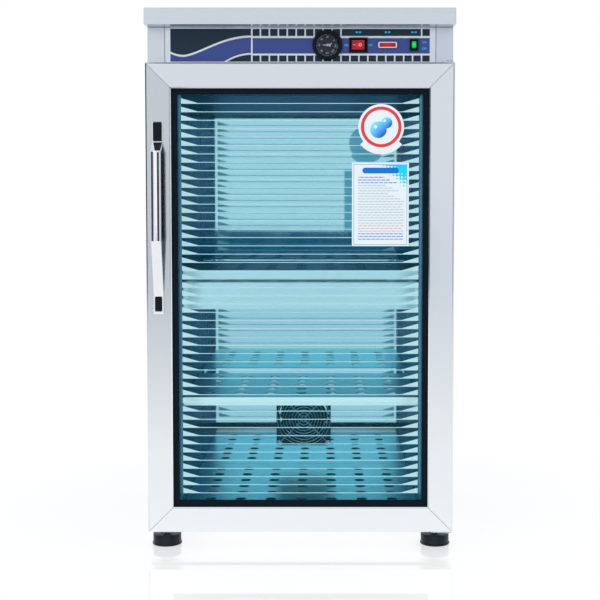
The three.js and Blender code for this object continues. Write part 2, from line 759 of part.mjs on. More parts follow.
function thermometerPointer() {
  const outline = [
    [-pointerLength, pointerTip / 2], [-pointerLength, -pointerTip / 2], [0, -pointerTip],
    [pointerTail, -pointerTailWidth / 2], [pointerTail, pointerTailWidth / 2], [0, pointerTip]];
  const needle = prism('y', outline, [pointerFrontY, pointerFrontY + pointerThickness]);
  const hub = rod('y', pointerHub, [pointerFrontY, pointerFrontY + pointerThickness]);
  const spindle = rod('y', spindleDiameter,
    [pointerFrontY, recessY + spindleLength - assemblyGap], [0, 0], holeSides);
  return join(needle, hub, spindle);
}

const thermometer = addGroup(thermometerX, controlY, fasciaZ);
const faceDiameter = 2 * (recessRadius - assemblyGap);
addPiece('thermometer_case', thermometerCase(), blackPlastic, thermometer);
addPiece('thermometer_dial', prism('y', roundOutline(faceDiameter, fineSides),
  [dialFrontY, dialFrontY + dialThickness], [roundOutline(2 * spindleHole, holeSides)]), dialBlack,
  thermometer);
addPiece('thermometer_pointer', thermometerPointer(), pointerWhite, thermometer);
addPiece('thermometer_lens', prism('y', roundOutline(faceDiameter, fineSides),
  [lensFrontY, lensFrontY + lensThickness]), clearGlass, thermometer);

// Rocker switches: the rocker's length lies along X and it tips about Z
function switchHousing(length, width, rim) {
  const flange = block(centred(length + 2 * rim), [-switchFlange, 0], centred(width + 2 * rim));
  const body = block(centred(housingSize(length)), [-switchFlange, switchDepth],
    centred(housingSize(width)));
  const pocket = block(centred(length + 2 * pocketGap), [-2 * switchFlange, pocketDepth],
    centred(width + 2 * pocketGap));
  const tabs = [-1, 0, 1].map((place) => block(centred(tabThickness, place * tabPitchShare * length),
    [switchDepth - tabThickness, switchDepth + tabLength], centred(tabWidth)));
  return join(cut(join(flange, body), pocket), ...tabs);
}

function rocker(length, width) {
  const half = length / 2;
  const outline = [
    [-half, -rockerEnd], [0, -rockerWaist], [half, -rockerEnd], [half, rockerShoulder],
    [rockerBellyShare * half, rockerBelly], [-rockerBellyShare * half, rockerBelly],
    [-half, rockerShoulder]];
  return prism('z', outline, centred(width));
}

const powerSwitch = addGroup(powerSwitchX, controlY, fasciaZ);
addPiece('power_switch_housing', switchHousing(powerRockerLength, powerRockerWidth, powerRim),
  blackPlastic, powerSwitch);
addPiece('power_switch_rocker', rocker(powerRockerLength, powerRockerWidth), redLens,
  powerSwitch).rotation.z = -rockerTilt;

const lampSwitch = addGroup(lampSwitchX, controlY, fasciaZ);
lampSwitch.rotation.y = Math.PI / 2;
addPiece('lamp_switch_housing', switchHousing(lampRockerLength, lampRockerWidth, lampRim),
  blackPlastic, lampSwitch);
addPiece('lamp_switch_rocker', rocker(lampRockerLength, lampRockerWidth), greenLens,
  lampSwitch).rotation.z = -rockerTilt;

// Pilot lamp
function pilotBezel() {
  const flange = prism('y', chamferedRectangle(pilotWindowLength + 2 * pilotRim + pilotWall,
    pilotWindowHeight + 2 * pilotRim, pilotCorner), [-pilotFlange, 0]);
  const body = block(centred(pilotBodySize(pilotWindowLength)), [-pilotFlange, pilotDepth],
    centred(pilotBodySize(pilotWindowHeight)));
  const pocket = block(centred(pilotWindowLength + 2 * assemblyGap),
    [-2 * pilotFlange, pilotLensDepth - pilotFlange + pilotLensInset + assemblyGap],
    centred(pilotWindowHeight + 2 * assemblyGap));
  return cut(join(flange, body), pocket);
}

const pilotLamp = addGroup(pilotLampX, controlY, fasciaZ);
addPiece('pilot_lamp_bezel', pilotBezel(), chrome, pilotLamp);
addPiece('pilot_lamp_lens', prism('y',
  chamferedRectangle(pilotWindowLength, pilotWindowHeight, pilotWall),
  [-pilotFlange + pilotLensInset, pilotLensDepth - pilotFlange + pilotLensInset]), redLens, pilotLamp);

// Door frame: four mitred lengths of one hollow section. The section's u runs inwards
// from the outer edge, its v backwards from the door's front.
const door = addGroup(0, 0, 0);
const doorHeight = doorTopZ - doorBottomZ;
const doorMiddleZ = (doorTopZ + doorBottomZ) / 2;
const gasketFront = glassSetback - assemblyGap - gasketLeg;
const gasketBack = glassSetback + glassThickness + assemblyGap + gasketLeg;
const hingeX = bodyHalf - hingeInset;
const hingeY = doorFrontY + hingeSetback;
const mitreGap = assemblyGap * Math.SQRT1_2;

function frameMember(length) {
  const grooveBottom = frameWidth - gasketEmbed;
  const section = [
    [0, doorThickness], [0, frameBevel], [frameBevel, 0], [frameWidth - frameBevel, 0],
    [frameWidth, frameBevel], [frameWidth, gasketFront - assemblyGap],
    [grooveBottom, gasketFront - assemblyGap], [grooveBottom, gasketBack + assemblyGap],
    [frameWidth, gasketBack + assemblyGap], [frameWidth, doorThickness]];
  const chamber = rectangle([frameWall, grooveBottom - frameWall], [frameWall, doorThickness - frameWall]);
  const half = length / 2;
  const mitre = [
    [0, mitreGap - half], [frameWidth, mitreGap - half + frameWidth],
    [frameWidth, half - frameWidth - mitreGap], [0, half - mitreGap]];
  return prism('z', section, [-half, half], [chamber])
    .intersect(prism('y', mitre, [-doorThickness, 2 * doorThickness]));
}

function placeMember(name, length, [x, z], turn, pinPlace) {
  let solid = frameMember(length);
  if (pinPlace) {
    solid = cut(solid, rod('x', hingePin + 2 * assemblyGap, [-frameWall, 2 * frameWall], pinPlace));
  }
  const mesh = addPiece(name, solid, aluminium, door);
  mesh.position.set(x, doorFrontY, z);
  mesh.rotation.y = turn;
}

placeMember('door_left_stile', doorHeight, [-bodyHalf, doorMiddleZ], 0);
placeMember('door_right_stile', doorHeight, [bodyHalf, doorMiddleZ], Math.PI);
placeMember('door_top_rail', bodyWidth, [0, doorTopZ], Math.PI / 2, [hingeSetback, hingeX]);
placeMember('door_bottom_rail', bodyWidth, [0, doorBottomZ], -Math.PI / 2, [hingeSetback, -hingeX]);

// Glass in its rubber channel, and the seal behind the frame
const doorOpening = (margin) => [
  [-bodyHalf + frameWidth - margin, bodyHalf - frameWidth + margin],
  [doorBottomZ + frameWidth - margin, doorTopZ - frameWidth + margin]];

function frameBlock(margin, [front, back]) {
  const [across, up] = doorOpening(margin);
  return block(across, [doorFrontY + front, doorFrontY + back], up);
}

function glassGasket() {
  const body = frameBlock(gasketEmbed - assemblyGap, [gasketFront, gasketBack]);
  const channel = frameBlock(gasketEmbed - assemblyGap - gasketLeg,
    [glassSetback - assemblyGap, glassSetback + glassThickness + assemblyGap]);
  const window = frameBlock(-gasketShow, [-doorThickness, doorThickness]);
  return cut(body, channel, window);
}

function doorSeal() {
  const [innerHalf, outerHalf] = [cavityHalf + sealMargin, cavityHalf + sealMargin + sealWidth];
  const [innerZ, outerZ] = [sealMargin, sealMargin + sealWidth]
    .map((margin) => [cavityBottomZ - margin, cavityTopZ + margin]);
  return prism('y', rectangle([-outerHalf, outerHalf], outerZ),
    [doorBackY + assemblyGap, bodyFrontY - assemblyGap], [rectangle([-innerHalf, innerHalf], innerZ)]);
}

addPiece('door_glass', frameBlock(gasketEmbed - 2 * assemblyGap - gasketLeg,
  [glassSetback, glassSetback + glassThickness]), tintedGlass, door);
addPiece('glass_gasket', glassGasket(), blackRubber, door);
addPiece('door_seal', doorSeal(), blackRubber, door);

const handleX = -bodyHalf + frameWidth / 2;
const handleTopZ = doorTopZ - handleDrop;
addPiece('door_magnet', block(centred(magnetWidth, -bodyHalf + magnetWidth),
  [doorBackY + assemblyGap, bodyFrontY - assemblyGap],
  centred(magnetLength, handleTopZ - handleLength / 2)), blackPlastic, door);

// Handle: its side outline, with the distance in front of the door first, carried across X
const coverWidth = handleWidth - 2 * handleBevel - 2 * assemblyGap;
const coverPlaces = [-handleFoot / 2, -handleLength + handleFoot / 2];

function doorHandle() {
  const backOfGrip = handleReach - gripThickness;
  const gripTop = -handleFoot - handleRiser;
  const gripBottom = -handleLength + handleFoot + handleTaper;
  const outline = [
    [assemblyGap, 0], [handleFootThickness, 0], [handleFootThickness, -handleFoot],
    [handleReach, gripTop], [handleReach, gripBottom],
    [handleFootThickness, -handleLength + handleFoot], [handleFootThickness, -handleLength],
    [assemblyGap, -handleLength], [assemblyGap, -handleLength + handleFoot],
    [backOfGrip, gripBottom], [backOfGrip, gripTop - handleBevel],
    [assemblyGap, -handleFoot - handleBevel]];
  const bar = prism('x', outline.map(([reach, z]) => [-reach, z]),
    centred(handleWidth - 2 * handleBevel), [], {
      bevelEnabled: true, bevelSegments: 1, bevelThickness: handleBevel,
      bevelSize: handleBevel, bevelOffset: -handleBevel });
  const recesses = coverPlaces.map((z) => block(centred(coverWidth + 2 * assemblyGap),
    [-handleFootThickness - coverDepth, -handleFootThickness + coverDepth - coverProud + assemblyGap],
    centred(coverHeight + 2 * assemblyGap, z)));
  return cut(bar, ...recesses);
}

const handle = addGroup(handleX, doorFrontY, handleTopZ, door);
addPiece('door_handle', doorHandle(), chrome, handle);
['handle_upper_cover', 'handle_lower_cover'].forEach((name, i) => {
  addPiece(name, block(centred(coverWidth),
    [-handleFootThickness - coverProud, -handleFootThickness - coverProud + coverDepth],
    centred(coverHeight, coverPlaces[i])), blackPlastic, handle);
});

// Hinge brackets, with the door's edge at z = 0: a level leaf with the riveted pin, and a
// leaf behind the door on the cabinet's front. up is 1 over the door and -1 under it.
function hingeBracket(up, width) {
  const across = [bodyHalf - hingeEdge - width, bodyHalf - hingeEdge];
  const backFace = bodyFrontY - assemblyGap;
  const leafEnd = up * (assemblyGap + hingeLeaf);
  const level = block(across, [hingeY - hingeNose, backFace], [up * assemblyGap, leafEnd]);
  const upright = block(across, [backFace - hingeBackLeaf, backFace], [leafEnd, -up * hingeBackHeight]);
  const pin = rod('z', hingePin, [leafEnd, -up * hingePinLength], [hingeX, hingeY]);
  const head = rod('z', hingePinHead, [up * assemblyGap, leafEnd + up * hingeHead], [hingeX, hingeY]);
  return join(level, upright, pin, head);
}

addPiece('upper_hinge_bracket', hingeBracket(1, upperHingeWidth), zincSteel, addGroup(0, 0, doorTopZ));
addPiece('lower_hinge_bracket', hingeBracket(-1, lowerHingeWidth), zincSteel, addGroup(0, 0, doorBottomZ));

// Feet: a rubber pad on a threaded stud
function foot() {
  return turned('z', [
    [0, 0], [footDiameter / 2 - footBevel, 0], [footDiameter / 2, footBevel],
    [footDiameter / 2, footHeight - footBevel], [footDiameter / 2 - footBevel, footHeight],
    [footNeck / 2, footHeight], [footNeck / 2, standHeight - assemblyGap],
    [footStud / 2, standHeight - assemblyGap], [footStud / 2, standHeight + footStudRise],
    [0, standHeight + footStudRise]], coarseSides);
}

for (const [name, [x, y]] of Object.entries(footPlaces)) {
  addPiece(name, foot(), blackRubber, addGroup(x, y, 0));
}

export default cabinet;
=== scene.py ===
import json
import math
from contextlib import contextmanager

import bmesh
import bpy
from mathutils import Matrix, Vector

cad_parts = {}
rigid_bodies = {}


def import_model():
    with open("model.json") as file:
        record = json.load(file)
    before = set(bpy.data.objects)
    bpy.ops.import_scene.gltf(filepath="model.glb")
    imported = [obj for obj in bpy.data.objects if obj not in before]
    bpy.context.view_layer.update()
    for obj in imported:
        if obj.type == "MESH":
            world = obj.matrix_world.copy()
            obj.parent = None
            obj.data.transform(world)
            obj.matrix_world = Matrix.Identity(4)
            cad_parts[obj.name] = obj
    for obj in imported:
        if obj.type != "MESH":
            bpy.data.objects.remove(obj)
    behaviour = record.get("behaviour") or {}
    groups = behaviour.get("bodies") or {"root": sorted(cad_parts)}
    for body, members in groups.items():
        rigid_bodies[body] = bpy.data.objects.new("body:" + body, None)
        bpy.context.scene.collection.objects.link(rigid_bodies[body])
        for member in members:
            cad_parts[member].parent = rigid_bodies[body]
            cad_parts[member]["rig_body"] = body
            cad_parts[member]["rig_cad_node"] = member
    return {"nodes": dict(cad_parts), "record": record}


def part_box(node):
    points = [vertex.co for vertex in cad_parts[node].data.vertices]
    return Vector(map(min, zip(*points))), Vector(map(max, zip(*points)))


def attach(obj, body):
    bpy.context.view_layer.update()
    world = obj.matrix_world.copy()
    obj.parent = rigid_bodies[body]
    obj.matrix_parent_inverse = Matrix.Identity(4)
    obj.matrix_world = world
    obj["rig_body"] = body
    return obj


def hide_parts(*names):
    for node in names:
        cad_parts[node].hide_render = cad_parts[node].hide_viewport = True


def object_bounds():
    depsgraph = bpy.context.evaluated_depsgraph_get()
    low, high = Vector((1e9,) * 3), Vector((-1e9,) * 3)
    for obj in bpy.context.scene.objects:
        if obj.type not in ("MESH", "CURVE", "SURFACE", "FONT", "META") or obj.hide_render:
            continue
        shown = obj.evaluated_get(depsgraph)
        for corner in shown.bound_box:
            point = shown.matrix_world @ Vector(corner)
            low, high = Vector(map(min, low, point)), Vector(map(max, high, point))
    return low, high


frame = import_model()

bl_info = {
    "name": "Ultraviolet Sterilizer Cabinet",
    "version": (1, 0, 0),
    "blender": (4, 5, 0),
    "location": "View3D > Sidebar > Sterilizer",
    "description": "Dresses the packed frame of an ultraviolet sterilizer with its pieces",
    "category": "Object",
}

CAD_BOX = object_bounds()
MM = 0.001
RECORD = frame["record"]
BODY_OF = {
    node: body for body, nodes in RECORD["behaviour"]["bodies"].items() for node in nodes
}

# Measures that several pieces share, in millimetres
VENT_GROUPS = (733.7, 135)
VENT_ROWS, VENT_ROW_PITCH, VENT_COLUMNS, VENT_COLUMN_PITCH = 4, 14, 3, 90
SHEET = 1.2
INK_DEPTH = 0.14
ROUND_STICKER = (117.2, 620)
LEAFLET_X, LEAFLET_Z = (75, 157.5), (447.6, 568.5)
LEAFLET_BORDER_X, LEAFLET_BORDER_Z = (77.4, 155.1), (449.4, 566.1)
PAPER = (0.70, 0.78, 0.83)


# Modelling helpers. Lengths are in millimetres, in the frame of the CAD.
def deselect_all():
    if bpy.context.mode != "OBJECT":
        bpy.ops.object.mode_set(mode="OBJECT")
    bpy.ops.object.select_all(action="DESELECT")


def only(piece):
    deselect_all()
    piece.select_set(True)
    bpy.context.view_layer.objects.active = piece


@contextmanager
def editing(piece, mode="FACE"):
    only(piece)
    bpy.ops.object.mode_set(mode="EDIT")
    bpy.ops.mesh.select_mode(type=mode)
    bpy.ops.mesh.select_all(action="DESELECT")
    yield
    bpy.ops.object.mode_set(mode="OBJECT")


def select(kind, test):
    """Selects the verts, edges or faces of the mesh being edited that pass the test."""
    mesh = bpy.context.object.data
    bpy.ops.mesh.select_all(action="DESELECT")
    shape = bmesh.from_edit_mesh(mesh)
    for element in getattr(shape, kind):
        if test(element):
            element.select_set(True)
    shape.select_flush_mode()
    bmesh.update_edit_mesh(mesh)


def settle(piece):
    """Moves the place and turn of the object into its mesh."""
    only(piece)
    bpy.ops.object.transform_apply(location=True, rotation=True, scale=True)
    return piece


def named(name):
    piece = bpy.context.object
    piece.name = name
    return settle(piece)


def spans(node):
    """The CAD node's box as three (low, high) pairs."""
    low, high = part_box(node)
    return [(a / MM, b / MM) for a, b in zip(low, high)]


def middle(span):
    return (span[0] + span[1]) / 2


def evenly(number, pitch):
    return [(i - (number - 1) / 2) * pitch for i in range(number)]


def around(size, centre=0.0):
    return centre - size / 2, centre + size / 2


def slab(name, *sides):
    deselect_all()
    bpy.ops.mesh.primitive_cube_add(
        size=1,
        location=[middle(side) * MM for side in sides],
        scale=[abs(side[1] - side[0]) * MM for side in sides],
    )
    return named(name)


def in_space(axis, u, v, along):
    return {"x": (along, u, v), "y": (u, along, v), "z": (u, v, along)}[axis]


TURN = {"x": (0, math.pi / 2, 0), "y": (-math.pi / 2, 0, 0), "z": (0, 0, 0)}


def rod(name, axis, diameter, span, centre, sides):
    deselect_all()
    bpy.ops.mesh.primitive_cylinder_add(
        vertices=sides,
        radius=diameter / 2 * MM,
        depth=abs(span[1] - span[0]) * MM,
        location=Vector(in_space(axis, *centre, middle(span))) * MM,
        rotation=TURN[axis],
    )
    return named(name)


def sketch(name, points):
    """Extrudes one vertex along the points of a line."""
    deselect_all()
    bpy.ops.mesh.primitive_plane_add(size=MM)
    piece = bpy.context.object
    piece.name = name
    points = [Vector(point) * MM for point in points]
    with editing(piece, "VERT"):
        bpy.ops.mesh.select_all(action="SELECT")
        bpy.ops.mesh.merge(type="CENTER")
        bpy.ops.transform.translate(value=points[0])
        for start, end in zip(points, points[1:]):
            bpy.ops.mesh.extrude_vertices_move(
                TRANSFORM_OT_translate={"value": end - start}
            )
    return piece


def mend(piece):
    """Merges doubled corners and points the faces outwards."""
    with editing(piece, "VERT"):
        bpy.ops.mesh.select_all(action="SELECT")
        bpy.ops.mesh.remove_doubles(threshold=0.001 * MM)
        bpy.ops.mesh.normals_make_consistent(inside=False)
    return piece


def prism(name, axis, outline, span):
    """Fills a closed outline and extrudes it along an axis."""
    low, high = min(span), max(span)
    points = [in_space(axis, u, v, low) for u, v in [*outline, outline[0]]]
    piece = sketch(name, points)
    depth = Vector(in_space(axis, 0, 0, high - low)) * MM
    with editing(piece, "VERT"):
        bpy.ops.mesh.select_all(action="SELECT")
        bpy.ops.mesh.remove_doubles(threshold=0.0001 * MM)
        bpy.ops.mesh.edge_face_add()
        bpy.ops.mesh.extrude_region_move(TRANSFORM_OT_translate={"value": depth})
    return mend(piece)


def turned(name, axis, profile, centre=(0, 0), steps=64):
    """Spins a line of (radius, height) points about an axis."""
    piece = sketch(name, [(radius, 0, height) for radius, height in profile])
    with editing(piece, "VERT"):
        bpy.ops.mesh.select_all(action="SELECT")
        bpy.ops.mesh.spin(
            steps=steps, angle=2 * math.pi, center=(0, 0, 0), axis=(0, 0, 1)
        )
    mend(piece)
    piece.rotation_euler = TURN[axis]
    piece.location = Vector(in_space(axis, *centre, 0)) * MM
    return settle(piece)


def filleted(points, radius, steps):
    """A closed outline with its corners rounded, each by up to radius."""
    rounded_points = []
    for i, point in enumerate(points):
        here = Vector(point)
        before = Vector(points[i - 1]) - here
        after = Vector(points[(i + 1) % len(points)]) - here
        turn = before.angle(after)
        reach = min(
            radius / math.tan(turn / 2), before.length * 0.45, after.length * 0.45
        )
        start, end = here + before.normalized() * reach, here + after.normalized() * reach
        for step in range(steps + 1):
            t = step / steps
            rounded_points.append(
                tuple(start * (1 - t) ** 2 + here * (2 * t * (1 - t)) + end * t**2)
            )
    return rounded_points


def hexagon(radius, centre):
    turns = [i * math.tau / 6 for i in range(6)]
    return [
        (centre[0] + radius * math.cos(turn), centre[1] + radius * math.sin(turn))
        for turn in turns]


def smooth(piece, degrees=32):
    only(piece)
    bpy.ops.object.shade_smooth_by_angle(angle=math.radians(degrees))
    return piece


def apply_modifier(piece, kind, **settings):
    only(piece)
    modifier = piece.modifiers.new(kind.title(), kind)
    for key, value in settings.items():
        setattr(modifier, key, value)
    bpy.ops.object.modifier_apply(modifier=modifier.name)
    return piece


def rounded(piece, width, segments=2, degrees=30):
    apply_modifier(
        piece,
        "BEVEL",
        width=width * MM,
        segments=segments,
        limit_method="ANGLE",
        angle_limit=math.radians(degrees),
        use_clamp_overlap=True,
    )
    smooth(piece)
    # Large faces stay flat in reflections beside their rounded edges
    return apply_modifier(piece, "WEIGHTED_NORMAL", keep_sharp=True, weight=100)


def resized(piece, factors, test=lambda vert: True):
    """Scales the corners that pass the test about the middle of the piece."""
    centre = sum((Vector(corner) for corner in piece.bound_box), Vector()) / 8
    with editing(piece, "VERT"):
        select("verts", test)
        bpy.ops.transform.resize(value=factors, center_override=centre)
    return piece


def joined(name, pieces):
    pieces = list(pieces)
    only(pieces[0])
    for piece in pieces[1:]:
        piece.select_set(True)
    if len(pieces) > 1:
        bpy.ops.object.join()
    pieces[0].name = name
    return pieces[0]


def copied(piece, offset=(0, 0, 0), turn=(0, 0, 0), centre=(0, 0, 0)):
    """A copy with its own mesh, turned about centre and then moved by offset."""
    only(piece)
    bpy.ops.object.duplicate()
    twin = bpy.context.object
    twin.location = -Vector(centre) * MM
    settle(twin)
    twin.rotation_euler = turn
    twin.location = (Vector(centre) + Vector(offset)) * MM
    return settle(twin)


def discard(*pieces):
    for piece in pieces:
        bpy.data.objects.remove(piece)


def repeated(name, piece, offsets):
    """Copies of the piece, moved by the offsets and joined, which take its place."""
    copies = [copied(piece, offset) for offset in offsets]
    discard(piece)
    return joined(name, copies)


def cut(piece, *tools):
    tool = joined("cutter", tools)
    apply_modifier(piece, "BOOLEAN", operation="DIFFERENCE", solver="EXACT", object=tool)
    discard(tool)
    if not piece.data.polygons:
        raise RuntimeError(f"the cut left nothing of {piece.name}")
    return piece


def formed(node, width, segments=2):
    """A copy of a CAD node with its corners merged and its edges rounded."""
    only(frame["nodes"][node])
    bpy.ops.object.duplicate()
    piece = bpy.context.object
    bpy.ops.object.parent_clear(type="CLEAR_KEEP_TRANSFORM")
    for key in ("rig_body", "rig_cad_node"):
        del piece[key]
    piece.name = f"{node}_formed"
    with editing(piece, "VERT"):
        bpy.ops.mesh.customdata_custom_splitnormals_clear()
        bpy.ops.mesh.select_all(action="SELECT")
        bpy.ops.mesh.remove_doubles(threshold=0.002 * MM)
        bpy.ops.mesh.dissolve_limited(angle_limit=math.radians(0.5))
    return rounded(piece, width, segments) if width else smooth(piece)


def dress(piece, finish, node, stands_for=True):
    """Gives a piece its finish and the body of the CAD node that it belongs to, and hides
    that node if the piece stands for it.
    """
    only(piece)
    piece.data.materials.clear()
    piece.data.materials.append(finish)
    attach(piece, BODY_OF[node])
    if stands_for:
        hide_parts(node)
    return piece


def screw(name, head, height, level, outward):
    """A round-headed cross-recess screw seated at y = level that faces 1 (rear) or -1."""
    half = head / 2
    profile = [(0, 0), (half, 0), (half, height * 0.35), (half * 0.86, height * 0.78),
               (half * 0.5, height), (0, height)]
    piece = turned(name, "z", profile, steps=24)
    for along, across in ((0.56, 0.13), (0.13, 0.56)):
        cut(piece, slab("arm", around(head * along), around(head * across),
                        (height * 0.45, height * 2)))
    piece.rotation_euler = (-outward * math.pi / 2, 0, 0)
    piece.location.y = level * MM
    return smooth(settle(piece), 28)


# Shader helpers
class Value:
    """A socket of a finish. Arithmetic on it adds the Math nodes."""

    def __init__(self, finish, socket):
        self.finish, self.socket = finish, socket

    def maths(self, operation, *others):
        return self.finish.maths(operation, self, *others)

    def __add__(self, other):
        return self.maths("ADD", other)

    def __sub__(self, other):
        return self.maths("SUBTRACT", other)

    def __mul__(self, other):
        return self.maths("MULTIPLY", other)

    def __truediv__(self, other):
        return self.maths("DIVIDE", other)

    def __pow__(self, other):
        return self.maths("POWER", other)

    def __lt__(self, other):
        return self.maths("LESS_THAN", other)

    def __gt__(self, other):
        return self.maths("GREATER_THAN", other)

    def __rsub__(self, other):
        return self.finish.maths("SUBTRACT", other, self)

    __radd__, __rmul__ = __add__, __mul__

    def size(self):
        return self.maths("ABSOLUTE")

    def share(self):
        return self.maths("FRACT")

    def whole(self):
        return self.maths("FLOOR")

    def sine(self):
        return self.maths("SINE")

    def cosine(self):
        return self.maths("COSINE")

    def either(self, other):
        return self.maths("MAXIMUM", other)

    def clear_of(self, other):
        return self.maths("MINIMUM", other)

    def within(self, low, high):
        return (self > low) * (self < high)

    def held(self):
        """Held between 0 and 1."""
        return self.either(0.0).clear_of(1.0)

    def reach(self, other):
        """The distance of the point (self, other) from zero."""
        return (self * self + other * other) ** 0.5


class Finish:
    """A material and its nodes."""

    store, output_node = "materials", "ShaderNodeOutputMaterial"

    def __init__(self, name):
        self.owner = getattr(bpy.data, self.store).new(name)
        self.owner.use_nodes = True
        self.tree = self.owner.node_tree
        self.tree.nodes.clear()

    def node(self, kind, settings=None, inputs=None, output=0):
        made = self.tree.nodes.new(kind)
        for key, value in (settings or {}).items():
            setattr(made, key, value)
        for key, value in (inputs or {}).items():
            if isinstance(value, Value):
                self.tree.links.new(value.socket, made.inputs[key])
            elif made.inputs[key].type == "RGBA":
                made.inputs[key].default_value = (*value[:3], 1)
            else:
                made.inputs[key].default_value = value
        return Value(self, made.outputs[output]) if made.outputs else None

    def maths(self, operation, *operands):
        return self.node(
            "ShaderNodeMath", {"operation": operation}, dict(enumerate(operands)))

    def place(self):
        """The point's x, y and z in millimetres."""
        point = self.node("ShaderNodeTexCoord", output="Object")
        return [
            self.node("ShaderNodeSeparateXYZ", {}, {0: point}, axis) / MM
            for axis in ("X", "Y", "Z")
        ]

    def noise(self, size, stretch, detail):
        """Noise with features about size millimetres across, stretched along the axes."""
        point = self.node("ShaderNodeTexCoord", output="Object")
        spread = tuple(1 / (size * MM * factor) for factor in stretch)
        moved = self.node(
            "ShaderNodeMapping", {"vector_type": "POINT"}, {"Vector": point, "Scale": spread}
        )
        return self.node(
            "ShaderNodeTexNoise", {},
            {"Vector": moved, "Scale": 1.0, "Detail": detail},
        )

    def mix(self, amount, first, second):
        return self.node(
            "ShaderNodeMix", {"data_type": "RGBA"}, {0: amount, 6: first, 7: second}, 2
        )

    def bump(self, height, distance, strength):
        return self.node(
            "ShaderNodeBump", {},
            {"Height": height, "Distance": distance * MM, "Strength": strength},
        )

    def principled(self, **sockets):
        names = {key.replace("_", " ").title(): value for key, value in sockets.items()}
        names = {key.replace("Ior", "IOR"): value for key, value in names.items()}
        return self.node("ShaderNodeBsdfPrincipled", {}, names)

    def shown(self, shader):
        self.node(self.output_node, {}, {0: shader})
        return self.owner


class Surroundings(Finish):
    """A world and its nodes."""

    store, output_node = "worlds", "ShaderNodeOutputWorld"


def darker(colour, factor):
    return tuple(min(1.0, channel * factor) for channel in colour[:3])


def brushed_steel(name, colour, grain, roughness=0.24, streaks=0.03, over=None,
                  edge_tint=(1.0, 1.0, 1.0), glow=None):
    """Satin sheet. grain says how far the brush lines are drawn out along x, y and z.
    over is given the finish and its colour, and returns the colour that it makes of it.
    edge_tint colours the sheet where it is seen at a low angle. glow is given the finish
    and returns painted light that the sheet gives off, though it is no lamp."""
    steel = Finish(name)
    lines = steel.noise(0.45, grain, 3.0)
    bands = steel.noise(7, grain, 3.0)
    smears = steel.noise(160, (1, 1, 1.4), 2.0)
    tone = lines * 0.2 + bands * 0.45 + smears * 0.35
    shade = steel.mix(tone, darker(colour, 1 - 2 * streaks), darker(colour, 1 + 2 * streaks))
    if over:
        shade = over(steel, shade)
    light = {"emission_color": glow(steel), "emission_strength": 1.0} if glow else {}
    return steel.shown(steel.principled(
        base_color=shade,
        metallic=1.0,
        roughness=lines * 0.08 + smears * 0.08 + (roughness - 0.08),
        specular_tint=edge_tint,
        normal=steel.bump(lines, 0.006, 0.2), **light))


def polished_steel(name, colour):
    """Mirror-polished sheet with the faint waves of thin metal and a few wipe marks."""
    steel = Finish(name)
    waves = steel.noise(260, (1, 1, 1), 1.0)
    wipes = steel.noise(30, (1, 1.6, 4), 3.0)
    return steel.shown(steel.principled(
        base_color=steel.mix(wipes, darker(colour, 0.97), colour),
        metallic=1.0,
        roughness=wipes * 0.05 + 0.01,
        normal=steel.bump(waves, 0.25, 0.3)))


def plated(name, colour, roughness, size=3.0, over=None):
    """Bright plate or zinc: fine mottling and soft wear."""
    metal = Finish(name)
    mottle = metal.noise(size, (1, 1, 1), 4.0)
    cloud = metal.noise(size * 9, (1, 1, 1), 2.0)
    shade = metal.mix(mottle * 0.5 + cloud * 0.5, darker(colour, 0.88), colour)
    if over:
        shade = over(metal, shade)
    return metal.shown(metal.principled(
        base_color=shade,
        metallic=1.0,
        roughness=cloud * 0.12 + roughness,
        normal=metal.bump(mottle, 0.006, 0.3)))


def moulded(name, colour, roughness, size=0.7, depth=0.03, shine=0.5, glow=0.0):
    """Grained plastic, rubber, ink or paper. glow is painted light that the surface gives off
    as if lit from behind, though no lamp is there.
    """
    plastic = Finish(name)
    grain = plastic.noise(size, (1, 1, 1), 3.0)
    cloud = plastic.noise(24, (1, 1, 1), 2.0)
    return plastic.shown(plastic.principled(
        base_color=plastic.mix(cloud, darker(colour, 0.85), darker(colour, 1.2)),
        roughness=cloud * 0.16 + (roughness - 0.08),
        specular_ior_level=shine,
        emission_color=tuple(colour), emission_strength=glow,
        normal=plastic.bump(grain, depth, 0.5)))


def see_through(name, tint, shine, veil=(1.0, 1.0, 1.0), haze=0.0):
    """Clear or tinted glass that doesn't bend what is behind it. Both faces tint.
    veil is the colour that it scatters, and haze is how much of it."""
    glass = Finish(name)
    fresnel = glass.node("ShaderNodeFresnel", {}, {"IOR": 1.46})
    behind = glass.node("ShaderNodeNewGeometry", output="Backfacing")
    mirror = glass.node("ShaderNodeBsdfGlossy", {}, {"Roughness": 0.02})
    clear = glass.node("ShaderNodeBsdfTransparent", {}, {"Color": tint})
    if haze:
        film = glass.node("ShaderNodeBsdfDiffuse", {}, {"Color": veil})
        clear = glass.node("ShaderNodeMixShader", {}, {0: haze, 1: clear, 2: film})
    streaks = glass.noise(120, (1, 1, 2.2), 2.0)
    amount = fresnel * (1 - behind) * shine * (streaks * 0.2 + 0.9)
    return glass.shown(
        glass.node("ShaderNodeMixShader", {}, {0: amount, 1: clear, 2: mirror}))


def lit_lens(name, colour, centre, radius, glow, ribs=None):
    """A translucent lens with its lamp behind centre, in x and z."""
    lens = Finish(name)
    x, _, z = lens.place()
    near = (1 - (x - centre[0]).reach(z - centre[1]) / radius).either(0.0)
    grain = lens.noise(0.9, (1, 1, 1), 2.0)
    height = grain * 0.3
    if ribs:
        height = height + (z * (2 * math.pi / ribs)).sine() * 0.3
    return lens.shown(lens.principled(
        base_color=lens.mix(grain, darker(colour, 0.8), colour),
        roughness=grain * 0.1 + 0.18,
        emission_color=lens.mix(near**1.6, darker(colour, 0.22), glow),
        emission_strength=1.0,
        specular_ior_level=0.3,
        normal=lens.bump(height, 0.12, 0.5)))


